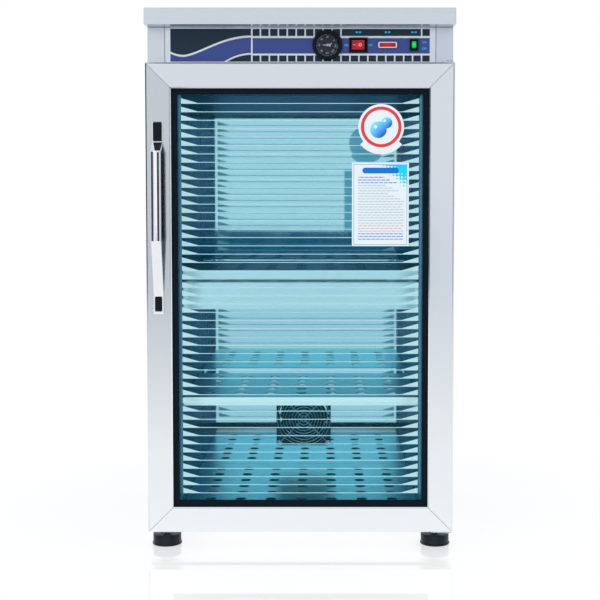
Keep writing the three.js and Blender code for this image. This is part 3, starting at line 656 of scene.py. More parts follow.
# Settings that a user would change
class CabinetSettings(bpy.types.PropertyGroup):
    edge_radius: bpy.props.FloatProperty(
        name="Edge Radius", description="Roundness of the folded sheet edges",
        default=0.5 * MM, min=0.1 * MM, max=0.5 * MM, precision=5, unit="LENGTH")
    satin: bpy.props.FloatVectorProperty(
        name="Satin Steel", description="Colour of the outer sheets", subtype="COLOR",
        size=3, default=(0.54, 0.60, 0.67))
    mirror: bpy.props.FloatVectorProperty(
        name="Mirror Steel", description="Colour of the polished lining", subtype="COLOR",
        size=3, default=(0.82, 0.92, 0.95))
    # The blue of the shelves and floor, and their paler blue at a low angle, stand in for the
    # tinted light inside the cavity: painted reflection.
    lining: bpy.props.FloatVectorProperty(
        name="Lining Steel", description="Colour of the shelves and the cavity's floor",
        subtype="COLOR", size=3, default=(0.46, 0.79, 0.90))
    # Painted shade and painted reflection: the sides' and ceiling's dark navy, bluer at a low
    # angle, stands in for the dark surroundings that they mirror.
    shade: bpy.props.FloatVectorProperty(
        name="Side Lining", description="Colour of the cavity's sides and ceiling",
        subtype="COLOR", size=3, default=(0.003, 0.075, 0.15))
    shade_edge: bpy.props.FloatVectorProperty(
        name="Side Lining Edge", description="Colour of the sides seen at a low angle",
        subtype="COLOR", size=3, default=(0.0, 0.19, 0.34))
    zinc: bpy.props.FloatVectorProperty(
        name="Zinc", description="Colour of the plated hidden sheets", subtype="COLOR",
        size=3, default=(0.50, 0.49, 0.46))
    hole_diameter: bpy.props.FloatProperty(
        name="Hole Diameter", description="Diameter of the holes in the shelves and floor",
        default=16 * MM, min=4 * MM, precision=4, unit="LENGTH")
    hole_pitch: bpy.props.FloatVectorProperty(
        name="Hole Pitch", description="Distance between the holes, across and in depth",
        size=2, default=(46 * MM, 40 * MM), min=20 * MM, precision=4, unit="LENGTH")
    hole_sides: bpy.props.IntProperty(
        name="Hole Sides", description="Sides of each round shelf hole", default=28, min=12)


class DoorSettings(bpy.types.PropertyGroup):
    aluminium: bpy.props.FloatVectorProperty(
        name="Frame", description="Colour of the door's frame", subtype="COLOR",
        size=3, default=(0.62, 0.68, 0.75))
    tint: bpy.props.FloatVectorProperty(
        name="Glass Tint", description="Share of light that each face lets through",
        subtype="COLOR", size=3, default=(0.79, 0.912, 0.942))
    veil: bpy.props.FloatVectorProperty(
        name="Glass Veil", description="Colour that the tinted glass scatters",
        subtype="COLOR", size=3, default=(0.03, 0.48, 0.70))
    print_colour: bpy.props.FloatVectorProperty(
        name="Line Print", description="Colour of the lines on the glass", subtype="COLOR",
        size=3, default=(0.32, 0.51, 0.54))
    line_count: bpy.props.IntProperty(
        name="Lines", description="Number of printed lines", default=48, min=2)
    line_pitch: bpy.props.FloatProperty(
        name="Line Pitch", description="Distance between printed lines",
        default=12.11 * MM, min=4 * MM, precision=5, unit="LENGTH")


class ControlSettings(bpy.types.PropertyGroup):
    silver: bpy.props.FloatVectorProperty(
        name="Silver", description="Ground of the overlay", subtype="COLOR",
        size=3, default=(0.80, 0.85, 0.90))
    violet: bpy.props.FloatVectorProperty(
        name="Violet", description="Band of the overlay", subtype="COLOR",
        size=3, default=(0.055, 0.090, 0.320))
    teal: bpy.props.FloatVectorProperty(
        name="Dark Teal", description="Squares of the overlay", subtype="COLOR",
        size=3, default=(0.008, 0.024, 0.046))
    cyan: bpy.props.FloatVectorProperty(
        name="Cyan", description="Marks beside the switches", subtype="COLOR",
        size=3, default=(0.0, 0.51, 0.79))


class StageSettings(bpy.types.PropertyGroup):
    distance: bpy.props.FloatProperty(
        name="Camera Distance", description="From the camera to the door's front",
        default=1.775, unit="LENGTH")
    eye_side: bpy.props.FloatProperty(
        name="Camera Side", description="How far right of the middle the camera stands",
        default=0.0345, unit="LENGTH")
    eye_height: bpy.props.FloatProperty(
        name="Camera Height", description="Height of the camera over the floor",
        default=0.530, unit="LENGTH")
    tilt: bpy.props.FloatProperty(
        name="Camera Tilt", description="How far the camera looks down",
        default=math.radians(3.11), subtype="ANGLE")
    softness: bpy.props.FloatProperty(
        name="Lamp Size", description="Width of the soft lamps", default=1.6, unit="LENGTH")


GROUPS = {
    "sterilizer_cabinet": CabinetSettings,
    "sterilizer_door": DoorSettings,
    "sterilizer_controls": ControlSettings,
    "sterilizer_stage": StageSettings,
}


# Outer cabinet
def build_shell(settings):
    satin_up = brushed_steel("satin_upright", settings.satin, (1, 1, 60))
    satin_across = brushed_steel("satin_across", settings.satin, (60, 1, 1))
    satin_side = brushed_steel("satin_side", settings.satin, (1, 1, 60), 0.34)
    zinc = plated("zinc_sheet", settings.zinc, 0.32)
    # The pan is painted near white, lighter than the other sheets, so that its mirror image
    # in the floor lightens the shade under the cabinet: painted light.
    pale = plated("pan_sheet", (0.94, 0.95, 0.96), 0.4)
    sheets = {
        "top_cap": satin_across, "left_side_panel": satin_side,
        "right_side_panel": satin_side, "rear_panel": satin_up, "base_pan": pale,
        "front_top_rail": satin_across, "front_bottom_rail": satin_across,
        "fascia_panel": satin_across,
    }
    for node, finish in sheets.items():
        dress(formed(node, settings.edge_radius / MM), finish, node)

    # Hoods over the vents, and the screws round the rear panel
    rear = spans("rear_panel")[1][1]
    length, reach, rise, lip, foot = 62, 3.2, 5.5, 1.5, 0.3
    shade = prism("vent_hood", "x", filleted([
        (rear, rise), (rear + reach, lip), (rear + reach, foot), (rear + reach - 0.8, foot),
        (rear + reach - 0.8, lip - 0.3), (rear, rise - 1.3)], 0.6, 2), around(length))
    end = [(rear, rise), (rear + reach, lip), (rear + reach, foot), (rear, foot)]
    sides = [prism("hood_end", "x", end, around(0.6, side * length / 2)) for side in (-1, 1)]
    hood = smooth(joined("vent_hood", [shade, *sides]))
    vents = [
        (x, 0, group + z) for group in VENT_GROUPS
        for z in evenly(VENT_ROWS, VENT_ROW_PITCH)
        for x in evenly(VENT_COLUMNS, VENT_COLUMN_PITCH)]
    dress(repeated("vent_hoods", hood, vents), satin_up, "rear_panel", stands_for=False)

    # Dark gauze put behind the lower vents keeps their light out of the fan: a sheet there
    # for shade.
    gauze = moulded("filter_gauze", (0.020, 0.060, 0.085), 0.9, 1.4, 0.3, 0.1)
    gauze_width, gauze_height, gauze_front, gauze_rear = 268, 60, rear - 3.4, rear - 2.0
    dress(slab("dust_filter", around(gauze_width), (gauze_front, gauze_rear),
               around(gauze_height, VENT_GROUPS[1])),
          gauze, "rear_panel", stands_for=False)
    screw_columns, screw_rows = (-213, 213), (48, 285, 520, 750)
    head = screw("rear_screw", 7, 2.1, rear, 1)
    screws = [(x, 0, z) for x in screw_columns for z in screw_rows]
    dress(repeated("rear_screws", head, screws), zinc, "rear_panel", stands_for=False)


def build_gland():
    (left, right), (front, rear), (low, high) = spans("power_cord_gland")
    centre = (middle((left, right)), middle((low, high)))
    black = moulded("gland_nylon", (0.016, 0.018, 0.022), 0.5, shine=0.3)
    rubber = moulded("gland_rubber", (0.014, 0.015, 0.017), 0.75)
    nut_radius, nut_front, nut_rear = 14, rear - 11.6, rear - 8.6
    shank, neck, bore = 9.9, 7.9, 4.6
    flange = rounded(prism("gland_flange", "y", filleted(hexagon(nut_radius, centre), 2.5, 3),
                           (nut_front, nut_rear)), 0.5)
    body = turned("gland_body", "y", [
        (shank, front), (shank, nut_front), (neck, rear - 8.7), (neck, rear - 3.5),
        (7.2, rear - 1.2), (6.2, rear), (bore, rear), (bore, front), (shank, front)], centre)
    rib_count = 14
    ribs = [
        slab("gland_rib", around(1.1, centre[0] + neck), (rear - 8.2, rear - 3.2),
             around(1.4, centre[1]))]
    ribs += [
        copied(ribs[0], turn=(0, i * math.tau / rib_count, 0),
               centre=(centre[0], 0, centre[1])) for i in range(1, rib_count)]
    dress(joined("cord_gland", [flange, smooth(body), *ribs]), black, "power_cord_gland")
    bush = turned("gland_bush", "y", [
        (4.5, front + 1), (4.5, rear - 0.8), (4.0, rear - 0.3), (3.4, rear - 0.3),
        (3.0, rear - 1.0), (3.0, front + 1), (4.5, front + 1)], centre)
    dress(smooth(bush), rubber, "power_cord_gland", stands_for=False)


# Lining and shelves
def perforated(name, outline, width, depth_span, level, settings):
    """An extruded sheet with rows of round holes through it."""
    sheet = prism(name, "x", outline, around(width))
    margin, drill_length = 14, 12
    hole = settings.hole_diameter / MM
    pitch_across, pitch_deep = (pitch / MM for pitch in settings.hole_pitch)
    depth = depth_span[1] - depth_span[0]
    across = int((width - hole - 2 * margin) // pitch_across) + 1
    deep = int((depth - hole - 2 * margin) // pitch_deep) + 1
    drills = [
        rod("drill", "z", hole, around(drill_length, level), (x, middle(depth_span) + y),
            settings.hole_sides)
        for x in evenly(across, pitch_across) for y in evenly(deep, pitch_deep)]
    return rounded(cut(sheet, *drills), 0.22, 1, 40)


def build_lining(settings):
    polished = polished_steel("polished_lining", settings.mirror)
    lit, dark = (1.0, 1.0, 1.0), (0.0, 0.0, 0.0)
    lip = spans("lower_shelf")[1][0] + 0.6
    mouth = spans("cavity_left_wall")[1][0] + 0.6

    # Paints the sheet light in front of depth: painted light on the edge that faces the door.
    def painted_bright_before(depth, colour):
        def over(steel, shade):
            _, y, _ = steel.place()
            return steel.mix(y < depth, shade, colour)
        return over

    # Gives the sheet in front of depth a glow though it is no lamp: painted light.
    def painted_glow_before(depth, colour):
        def glow(steel):
            _, y, _ = steel.place()
            return steel.mix(y < depth, dark, colour)
        return glow

    across, far_across, upright = (50, 1, 1), (80, 1, 1), (1, 1, 80)
    # Painted light and a painted glow on the cavity's front flange, which sits in shade
    # behind the door, and painted glow on the lamp shield and the shelf lips.
    mouth_painted_light, mouth_painted_glow = (0.40, 0.55, 0.62), (0.006, 0.040, 0.075)
    shield_painted_glow, lip_painted_glow, upper_lip_painted_glow = (
        (0.09, 0.11, 0.10), (0.30, 0.26, 0.20), (0.07, 0.09, 0.09))
    # The upper shelf is painted darker than the lower: painted shade.
    upper_painted_shade, sheet_edge = (0.035, 0.15, 0.22), (0.6, 0.95, 1.0)
    # The lamp shield is painted white and given a painted glow, though it is no lamp.
    pale = brushed_steel("lining_pale", lit, across, 0.24, glow=lambda _: shield_painted_glow)
    sheet_steel = brushed_steel(
        "lining_sheet", settings.lining, across, 0.3, over=painted_bright_before(lip, lit),
        edge_tint=sheet_edge, glow=painted_glow_before(lip, lip_painted_glow))
    shaded = brushed_steel(
        "upper_sheet", upper_painted_shade, across, 0.3, 0.1, over=painted_bright_before(lip, lit),
        edge_tint=settings.shade_edge, glow=painted_glow_before(lip, upper_lip_painted_glow))
    # The sides take the painted shade of the side lining.
    sides = brushed_steel(
        "lining_sides", settings.shade, upright, 0.26, 0.4,
        over=painted_bright_before(mouth, mouth_painted_light), edge_tint=settings.shade_edge,
        glow=painted_glow_before(mouth, mouth_painted_glow))
    # The ceiling is painted lighter than the sides: painted light.
    ceiling = brushed_steel("lining_ceiling", darker(settings.shade, 1.6), far_across, 0.3,
                            0.1, edge_tint=settings.shade_edge)
    for node, finish in {
        "cavity_back_wall": polished, "cavity_left_wall": sides,
        "cavity_right_wall": sides, "cavity_ceiling": ceiling,
        "upper_shelf_left_support": sheet_steel, "upper_shelf_right_support": sheet_steel,
        "lower_shelf_left_support": sheet_steel, "lower_shelf_right_support": sheet_steel,
        "lamp_shield": pale}.items():
        dress(formed(node, 0.3), finish, node)
    for node in ("upper_shelf", "lower_shelf"):
        (left, right), (front, rear), (low, high) = spans(node)
        outline = filleted([
            (front, low), (front, high), (rear, high), (rear, high - SHEET),
            (front + SHEET, high - SHEET), (front + SHEET, low)], 0.5, 3)
        dress(perforated(f"{node}_sheet", outline, right - left, (front, rear),
                         high, settings),
              shaded if node == "upper_shelf" else sheet_steel, node)
    (left, right), (front, rear), (low, high) = spans("cavity_floor")
    outline = [(front, low), (rear, low), (rear, high), (front, high)]
    dress(perforated("cavity_floor_sheet", outline, right - left, (front, rear),
                     high, settings), sheet_steel, "cavity_floor")


def build_lamps():
    enamel = moulded("white_enamel", (0.78, 0.80, 0.82), 0.32, 2.0, 0.01)
    quartz = see_through("lamp_quartz", (0.93, 0.95, 0.98), 1.4, haze=0.05)
    cap_metal = plated("lamp_caps", (0.78, 0.79, 0.80), 0.22, 1.5)
    pin, cap_depth, glass_radius, coil_depth = 6, 9, 7.6, 24
    for level in ("upper", "middle"):
        fitting, lamp = f"{level}_lamp_fitting", f"{level}_uv_lamp"
        dress(formed(fitting, 0.35), enamel, fitting)
        (left, right), depth, height = spans(lamp)
        centre = (middle(depth), middle(height))
        start, end = left + pin + cap_depth, right - pin - cap_depth
        tube = turned(f"{level}_lamp_tube", "x", [
            (0, start), (glass_radius, start), (glass_radius, end), (0, end)], centre, 32)
        dress(smooth(tube), quartz, lamp)
        metal = []
        for end, inward in ((left, 1), (right, -1)):
            face = end + inward * pin
            cap = turned("lamp_cap", "x", [
                (0, face), (7.2, face), (7.9, face + inward * 0.9),
                (7.9, face + inward * 11), (7.5, face + inward * 12.4),
                (7.3, face + inward * 11.4), (0, face + inward * 11.4)], centre, 32)
            pins = [
                rod("lamp_pin", "x", 2.2, (end + inward * 0.3, face + inward),
                    (centre[0], centre[1] + shift), 16) for shift in (-2.6, 2.6)]
            leads = [
                rod("lamp_lead", "x", 0.7, (face + inward * 11, face + inward * coil_depth),
                    (centre[0], centre[1] + shift), 8) for shift in (-2.2, 2.2)]
            coil = rod("lamp_coil", "z", 1.2, around(5, centre[1]),
                       (face + inward * coil_depth, centre[0]), 10)
            metal += [cap, *pins, *leads, coil]
        dress(smooth(joined(f"{level}_lamp_metal", metal)), cap_metal, lamp,
              stands_for=False)


def build_fan():
    # The fan's black plastic is given a lighter teal, standing in for the tinted light round
    # it: painted light.
    black = moulded("fan_plastic", (0.018, 0.090, 0.150), 0.62, shine=0.1)
    wire = plated("guard_wire", (0.94, 0.97, 0.98), 0.32, 1.5)
    dress(formed("fan_frame", 0.6), black, "fan_frame")

    (left, right), (front, rear), (low, high) = spans("fan_impeller")
    centre = (middle((left, right)), middle((low, high)))
    pivot = (centre[0], 0, centre[1])
    hub = turned("fan_hub", "y", [
        (1.8, rear), (18, rear), (18, front + 2.2), (17.2, front + 0.7), (15.4, front),
        (11, front), (10.6, front + 0.5), (1.8, front + 0.5), (1.8, rear)], centre, 56)
    deselect_all()
    bpy.ops.mesh.primitive_grid_add(x_subdivisions=9, y_subdivisions=9, size=1)
    blade = named("fan_blade")
    root, tip, chord, blade_count = 17.2, 40.6, 18.5, 7
    rows, camber = 5, 0.35
    blade.scale = ((tip - root) * MM, chord * MM, 1)
    settle(blade)
    with editing(blade, "VERT"):
        # Each row lifts what lies further out, which curves the blade along its chord
        for row in range(rows):
            reach = chord / 2 * row / rows * MM
            select("verts", lambda vert, reach=reach: abs(vert.co.y) >= reach - 1e-6)
            bpy.ops.transform.translate(value=(0, 0, camber * MM))
    apply_modifier(blade, "SIMPLE_DEFORM", deform_method="TWIST", deform_axis="X",
                   angle=math.radians(24))
    apply_modifier(blade, "SOLIDIFY", thickness=1.4 * MM, offset=0)
    blade.rotation_euler = (math.radians(40), 0, 0)
    settle(blade)
    blade.rotation_euler = (math.pi / 2, 0, 0)
    settle(blade)
    blade.location = Vector((centre[0] + (root + tip) / 2, middle((front, rear)),
                             centre[1])) * MM
    settle(blade)
    blades = [blade] + [
        copied(blade, turn=(0, i * math.tau / blade_count, 0), centre=pivot)
        for i in range(1, blade_count)]
    dress(smooth(joined("fan_rotor", [hub, *blades]), 40), black, "fan_impeller")

    front, rear = spans("fan_guard")[1]
    wire_size, spoke_size, spacing, ring_step = 1.5, 2.0, 82.5, 5
    rings = []
    for radius in range(ring_step, 9 * ring_step + 1, ring_step):
        deselect_all()
        bpy.ops.mesh.primitive_torus_add(
            major_radius=radius * MM, minor_radius=wire_size / 2 * MM,
            major_segments=56, minor_segments=8, rotation=(math.pi / 2, 0, 0),
            location=Vector((centre[0], front + wire_size / 2, centre[1])) * MM)
        rings.append(named("guard_ring"))
    half = spacing / 2
    for corner in range(4):
        turn = (0, math.pi / 4 + corner * math.pi / 2, 0)
        reach = half * math.sqrt(2)
        spoke = rod("guard_spoke", "x", spoke_size, (centre[0] + 3, centre[0] + reach - 3),
                    (front + 2.6, centre[1]), 10)
        eyelet = turned("guard_eyelet", "y", [
            (2.3, front + 2), (4.4, front + 2), (4.4, rear), (2.3, rear), (2.3, front + 2)],
            (centre[0] + reach, centre[1]), 24)
        for part in (spoke, eyelet):
            rings.append(copied(part, turn=turn, centre=pivot))
        discard(spoke, eyelet)
    dress(smooth(joined("guard_wires", rings)), wire, "fan_guard")
    head = screw("guard_screw", 6.6, 2.0, front + 2.0, -1)
    places = [
        (centre[0] + x * half, 0, centre[1] + z * half) for x in (-1, 1) for z in (-1, 1)]
    dress(repeated("guard_screws", head, places), wire, "fan_guard", stands_for=False)


def build_service_parts():
    scorched = Finish("heater_sheath")
    x, _, _ = scorched.place()
    grain = scorched.noise(2.5, (1, 1, 1), 3.0)
    heat = (x.size() / 110).held()
    sheath = scorched.shown(scorched.principled(
        base_color=scorched.mix(heat * 0.6 + grain * 0.4, (0.10, 0.07, 0.06),
                                (0.30, 0.25, 0.20)),
        metallic=0.9, roughness=grain * 0.2 + 0.35))
    dress(formed("heater_element", 0.4), sheath, "heater_element")

    laminated = Finish("ballast_stack")
    x, _, z = laminated.place()
    layers = (z * (2 * math.pi / 0.9)).sine() * 0.5 + 0.5
    stain = laminated.noise(9, (1, 1, 1), 3.0)
    stack = laminated.shown(laminated.principled(
        base_color=laminated.mix(stain, (0.20, 0.22, 0.24), (0.34, 0.37, 0.39)),
        metallic=0.6, roughness=stain * 0.2 + 0.35,
        normal=laminated.bump(layers, 0.08, 0.7)))
    dress(formed("ballast", 0.5), stack, "ballast")
    nylon = moulded("terminal_nylon", (0.72, 0.70, 0.62), 0.55)
    dress(formed("terminal_block", 0.3), nylon, "terminal_block")


# Control panel
def overlay_print(settings):
    """Silver film with a violet band, rows of dark squares and two sweeping lines."""
    film = Finish("overlay_print")
    x, _, z = film.place()
    divider_left, divider_right, right, pitch, square = -71.9, -69.5, 188.7, 13.05, 10.9
    row = (((right - x) / pitch).share() * pitch) < square
    divider = x.within(divider_left, divider_right)
    pattern = (x > divider_right) * (x < right)
    label_strip = x.within(60.9, 175.3)
    top_row = z.within(753.0, 763.2) * row.either(label_strip)
    bottom_row = z.within(714.4, 724.8) * row
    squares = pattern * top_row.either(bottom_row)
    band = pattern * z.within(727.6, 750.0)
    # The left part: dark above the upper curve, violet between the curves
    trough, trough_length, middle_level, half_rise = -170.6, 99.4, 738.2, 14
    rise = ((x - trough) / trough_length).held() ** 0.77
    sag = (((x - trough) / -18.5).either(0.0)) ** 2.0
    upper = middle_level - half_rise * (rise * math.pi).cosine() + sag * 4.7
    lower_start, lower_length, lower_level, lower_rise = -111.7, 40.6, 714.5, 12.7
    run = ((x - lower_start) / lower_length).held()
    lower = lower_level + lower_rise * (1 - (1 - run) ** 2.0)
    left = x < divider_left
    line = ((z - upper).size() < 1.5).either((z - lower).size() < 1.3) * left
    above = left * (z > upper)
    below = left * (z < lower) * (x > lower_start)
    dark = squares.either(above.either(below) * (1 - line))
    violet = band.either(left * (1 - above) * (1 - below)) * (1 - line) * (1 - divider)
    mesh_lines = ((x / 1.1).share() < 0.22).either((z / 1.1).share() < 0.22)
    dark_tone = film.mix(mesh_lines * 0.5, settings.teal, (0.030, 0.062, 0.095))
    sheen = film.noise(40, (1, 1, 1), 2.0)
    ground = film.mix(sheen, darker(settings.silver, 0.95), darker(settings.silver, 1.05))
    colour = film.mix(dark, film.mix(violet, ground, tuple(settings.violet)), dark_tone)
    edge = film.noise(1.2, (1, 1, 1), 2.0)
    return film.shown(film.principled(
        base_color=colour, roughness=edge * 0.08 + 0.3, specular_ior_level=0.15,
        normal=film.bump(edge, 0.01, 0.3)))


def lettered(name, text, height, place, weight=0.0):
    """Raised figures that face the front, centred on place."""
    depth, size_of_height = 0.12, 1.35
    deselect_all()
    bpy.ops.object.text_add(rotation=(math.pi / 2, 0, 0), location=Vector(place) * MM)
    words = bpy.context.object
    words.data.body = text
    words.data.size = height * MM * size_of_height
    words.data.align_x, words.data.align_y = "CENTER", "CENTER"
    words.data.extrude = depth / 2 * MM
    words.data.offset = weight * MM
    words.data.resolution_u = 4
    bpy.ops.object.convert(target="MESH")
    return mend(named(name))


def build_overlay(settings):
    dress(formed("control_overlay", 0.15, 1), overlay_print(settings), "control_overlay")
    # The cyan marks give off light though no lamp is behind them: painted light.
    cyan = moulded("cyan_ink", settings.cyan, 0.4, 1.0, 0.005, 0.2, 0.15)
    face = spans("control_overlay")[1][0]
    marks = [
        lettered("mark", word, 3.0, (x, face - 0.03, z), weight=0.09)
        for word, x, z in (("ON", 67.2, 739.6), ("OFF", 101.6, 739.6),
                           ("ON", 180.8, 743.6), ("OFF", 180.8, 734.6))]
    bead_width, bead_height, bead_level, bead_shift = 3.2, 2.4, 758.4, 2.4
    marks += [
        rounded(slab("mark", around(bead_width, x + shift), (face - 0.09, face + 0.1),
                     around(bead_height, bead_level)), 0.3, 1)
        for x in (84.6, 127.1, 165.7) for shift in (-bead_shift, bead_shift)]
    dress(joined("overlay_marks", marks), cyan, "control_overlay", stands_for=False)


def wheeled(piece, pivot, degrees):
    """Turns a piece that faces the front about pivot, anticlockwise as seen there."""
    piece.location = -Vector(pivot) * MM
    settle(piece)
    piece.rotation_euler = (0, -math.radians(degrees), 0)
    piece.location = Vector(pivot) * MM
    return settle(piece)


def build_thermometer():
    (left, right), (front, rear), (low, high) = spans("thermometer_case")
    centre = (middle((left, right)), middle((low, high)))
    pivot = (centre[0], 0, centre[1])
    outer = (right - left) / 2
    black = moulded("thermometer_plastic", (0.005, 0.010, 0.016), 0.34, 0.6, 0.015, 0.1)
    face = spans("thermometer_dial")[1][0]
    case = turned("thermometer_body", "y", [
        (0, rear), (18, rear), (18, front + 5), (outer, front + 5), (outer, front + 1.6),
        (outer - 0.4, front + 0.7), (outer - 1.2, front + 0.1), (outer - 2.2, front),
        (18.8, front), (18.0, front + 0.25), (17.3, front + 0.9), (17.0, front + 1.4),
        (17.0, face + 1.1), (1.1, face + 1.1), (1.1, face + 5.1), (0, face + 5.1)],
        centre, 96)
    dress(smooth(case, 36), black, "thermometer_case")

    dial_black = moulded("dial_black", (0.014, 0.018, 0.026), 0.62, 0.5, 0.01, 0.2)
    disc = turned("dial_disc", "y", [
        (1.1, face), (16.4, face), (16.7, face + 0.25), (16.7, face + 0.8),
        (1.1, face + 0.8), (1.1, face)], centre, 96)
    dress(smooth(disc), dial_black, "thermometer_dial")
    ink = moulded("dial_ink", (0.42, 0.50, 0.62), 0.6, 1.0, 0.005)
    marks = []
    tick_count, first_tick, tick_step, tick_start = 31, 98, 8.55, 14.9
    for i in range(tick_count):
        tick_end, tick_width = (16.3, 0.55) if i % 5 == 0 else (15.9, 0.4)
        tick = slab("dial_tick", (centre[0] + tick_start, centre[0] + tick_end),
                    (face - 0.06, face + 0.1), around(tick_width, centre[1]))
        marks.append(wheeled(tick, pivot, first_tick + i * tick_step))
    figure_place = (centre[0] + 11.7, face - 0.03, centre[1])
    for i, angle in enumerate((35, 90, 135, 180, 225, 270, 315, 356)):
        figure = lettered("dial_figure", str(i * 20), 2.7, figure_place)
        figure = wheeled(figure, (figure_place[0], 0, figure_place[2]), -90)
        marks.append(wheeled(figure, pivot, angle))
    dress(joined("dial_marks", marks), ink, "thermometer_dial", stands_for=False)

    near, far = spans("thermometer_pointer")[1]
    white = moulded("pointer_paint", (0.34, 0.44, 0.60), 0.5, 1.0, 0.005, 0.2)
    outline = [(centre[0] + u, centre[1] + v) for u, v in (
        (-7.2, 0.5), (-7.2, -0.2), (-4, -0.9), (0, -1.1), (2.4, -1.7), (4.2, -3.0),
        (5.2, 0.2), (7.0, 3.4), (2.4, 1.3), (0, 0.9), (-4, 0.7))]
    needle = rounded(prism("pointer_blade", "y", outline, (near + 0.1, near + 0.5)), 0.1, 1)
    boss = turned("pointer_boss", "y", [
        (0, near), (1.4, near), (1.9, near + 0.3), (1.9, near + 0.7), (0.8, near + 0.7),
        (0.8, far), (0, far)], centre, 32)
    dress(joined("thermometer_needle", [needle, smooth(boss)]), white,
          "thermometer_pointer")

    near, far = spans("thermometer_lens")[1]
    lens = turned("thermometer_glass", "y", [
        (0, near), (8, near + 0.05), (13, near + 0.18), (16.2, near + 0.4),
        (16.7, near + 0.6), (16.7, far), (0, far)], centre, 72)
    clear = see_through("clear_lens", (0.97, 0.98, 0.99), 0.4)
    dress(smooth(lens), clear, "thermometer_lens")


def tipped(piece, node_centre, turn):
    """Turns a piece made flat about its switch's pivot, as the CAD rocker rests."""
    piece.location = -Vector(node_centre) * MM
    settle(piece)
    piece.rotation_euler = turn
    piece.location = Vector(node_centre) * MM
    return settle(piece)


def build_switches():
    black = moulded("switch_plastic", (0.005, 0.009, 0.014), 0.36, 0.6, 0.02, 0.12)
    chrome = plated("pilot_chrome", (0.58, 0.59, 0.61), 0.16, 1.5)
    white = moulded("switch_ink", (0.80, 0.84, 0.88), 0.45, 1.0, 0.005)
    overlay_face = spans("control_overlay")[1][0] * MM
    for node, finish, factors in (
        ("power_switch_housing", black, (1.10, 1, 1.035)),
        ("lamp_switch_housing", black, (1.015, 1, 1.045)),
        ("pilot_lamp_bezel", chrome, (0.99, 1, 0.88))):
        flange = resized(formed(node, 0.5, 3), factors,
                         lambda vert: vert.co.y < overlay_face)
        dress(flange, finish, node)

    housing = spans("power_switch_housing")
    pivot = (middle(housing[0]), housing[1][0] + 2, middle(housing[2]))
    red = lit_lens("red_rocker", (0.36, 0.004, 0.018), (pivot[0] + 0.6, pivot[2]), 5.5,
                   (1.0, 0.0, 0.01), 3.2)
    rocker = resized(formed("power_switch_rocker", 0.7, 3), (0.945, 1, 0.89))
    dress(rocker, red, "power_switch_rocker")
    dash_length, dash_width, dash_shift, ring_shift = 3.8, 0.75, -5.5, 3.3
    dash = slab("rocker_dash", around(dash_length), (-0.06, 0.3), around(dash_width))
    deselect_all()
    bpy.ops.mesh.primitive_torus_add(
        major_radius=1.9 * MM, minor_radius=0.38 * MM, major_segments=36,
        minor_segments=8, rotation=(math.pi / 2, 0, 0))
    ring = named("rocker_ring")
    slope, rest = math.radians(8.53), math.radians(-8)
    for piece, shift, lean in ((dash, dash_shift, slope), (ring, ring_shift, -slope)):
        piece.rotation_euler = (0, 0, lean)
        settle(piece)
        depth = 3 + abs(shift) * math.tan(slope)
        piece.location = Vector((pivot[0] + shift, pivot[1] - depth, pivot[2])) * MM
        settle(piece)
    marks = tipped(joined("rocker_marks", [rounded(dash, 0.1, 1), smooth(ring)]), pivot,
                   (0, 0, rest))
    dress(marks, white, "power_switch_rocker", stands_for=False)

    pilot = spans("pilot_lamp_lens")
    window = lit_lens("pilot_lens", (0.30, 0.001, 0.008),
                      (middle(pilot[0]), middle(pilot[2])), 16, (0.36, 0.002, 0.014), 1.5)
    dress(formed("pilot_lamp_lens", 0.5, 3), window, "pilot_lamp_lens")
    lamp = spans("lamp_switch_housing")
    green = lit_lens("green_rocker", (0.004, 0.34, 0.07),
                     (middle(lamp[0]), middle(lamp[2])), 7.5, (0.0, 0.80, 0.06))
    rocker = resized(formed("lamp_switch_rocker", 0.6, 3), (0.86, 1, 0.885))
    dress(rocker, green, "lamp_switch_rocker")


# Door
def build_door_frame(settings):
    side = spans("door_right_stile")[0][0]
    sill = spans("door_bottom_rail")[2][1]
    head = spans("door_top_rail")[2][0]

    def painted_reflection_and_highlight(steel, shade):
        """Painted reflection and painted highlight: lighter toward the floor, as though it
        mirrored the floor, and a bright line round the opening.
        """
        x, _, z = steel.place()
        reflection_from, reflection_within, pale = 400, 260, (0.81, 0.85, 0.88)
        shade = steel.mix(((reflection_from - z) / reflection_within).held(), shade, pale)
        beyond = (x.size() - side).either(sill - z)
        return steel.mix(beyond.within(-0.3, 1.3) * (z < head), shade, (1.0, 1.0, 1.0))

    # The left upright is painted darker than the right, and the rails are as light as the
    # right: painted shade from what each side mirrors.
    left, right = (
        brushed_steel(f"{side_name}_frame_upright", darker(settings.aluminium, share),
                      (1, 1, 60), 0.16, 0.015, over=painted_reflection_and_highlight)
        for side_name, share in (("left", 0.78), ("right", 0.95)))
    across = brushed_steel("frame_across", darker(settings.aluminium, 0.95), (60, 1, 1),
                           0.2, 0.015, over=painted_reflection_and_highlight)
    side, sill, head, close = (value * MM for value in (side, sill, head, 0.01))

    def on_opening(edge):
        return all(
            abs(vert.co.y - front) < close
            and min(abs(abs(vert.co.x) - side), abs(vert.co.z - sill),
                    abs(vert.co.z - head)) < close for vert in edge.verts)

    for node, finish in (
        ("door_left_stile", left), ("door_right_stile", right),
        ("door_top_rail", across), ("door_bottom_rail", across)):
        piece = formed(node, 0)
        front = spans(node)[1][0] * MM
        with editing(piece, "EDGE"):
            select("edges", on_opening)
            bpy.ops.mesh.bevel(offset=1.1 * MM, segments=3)
        dress(rounded(piece, 0.35), finish, node)


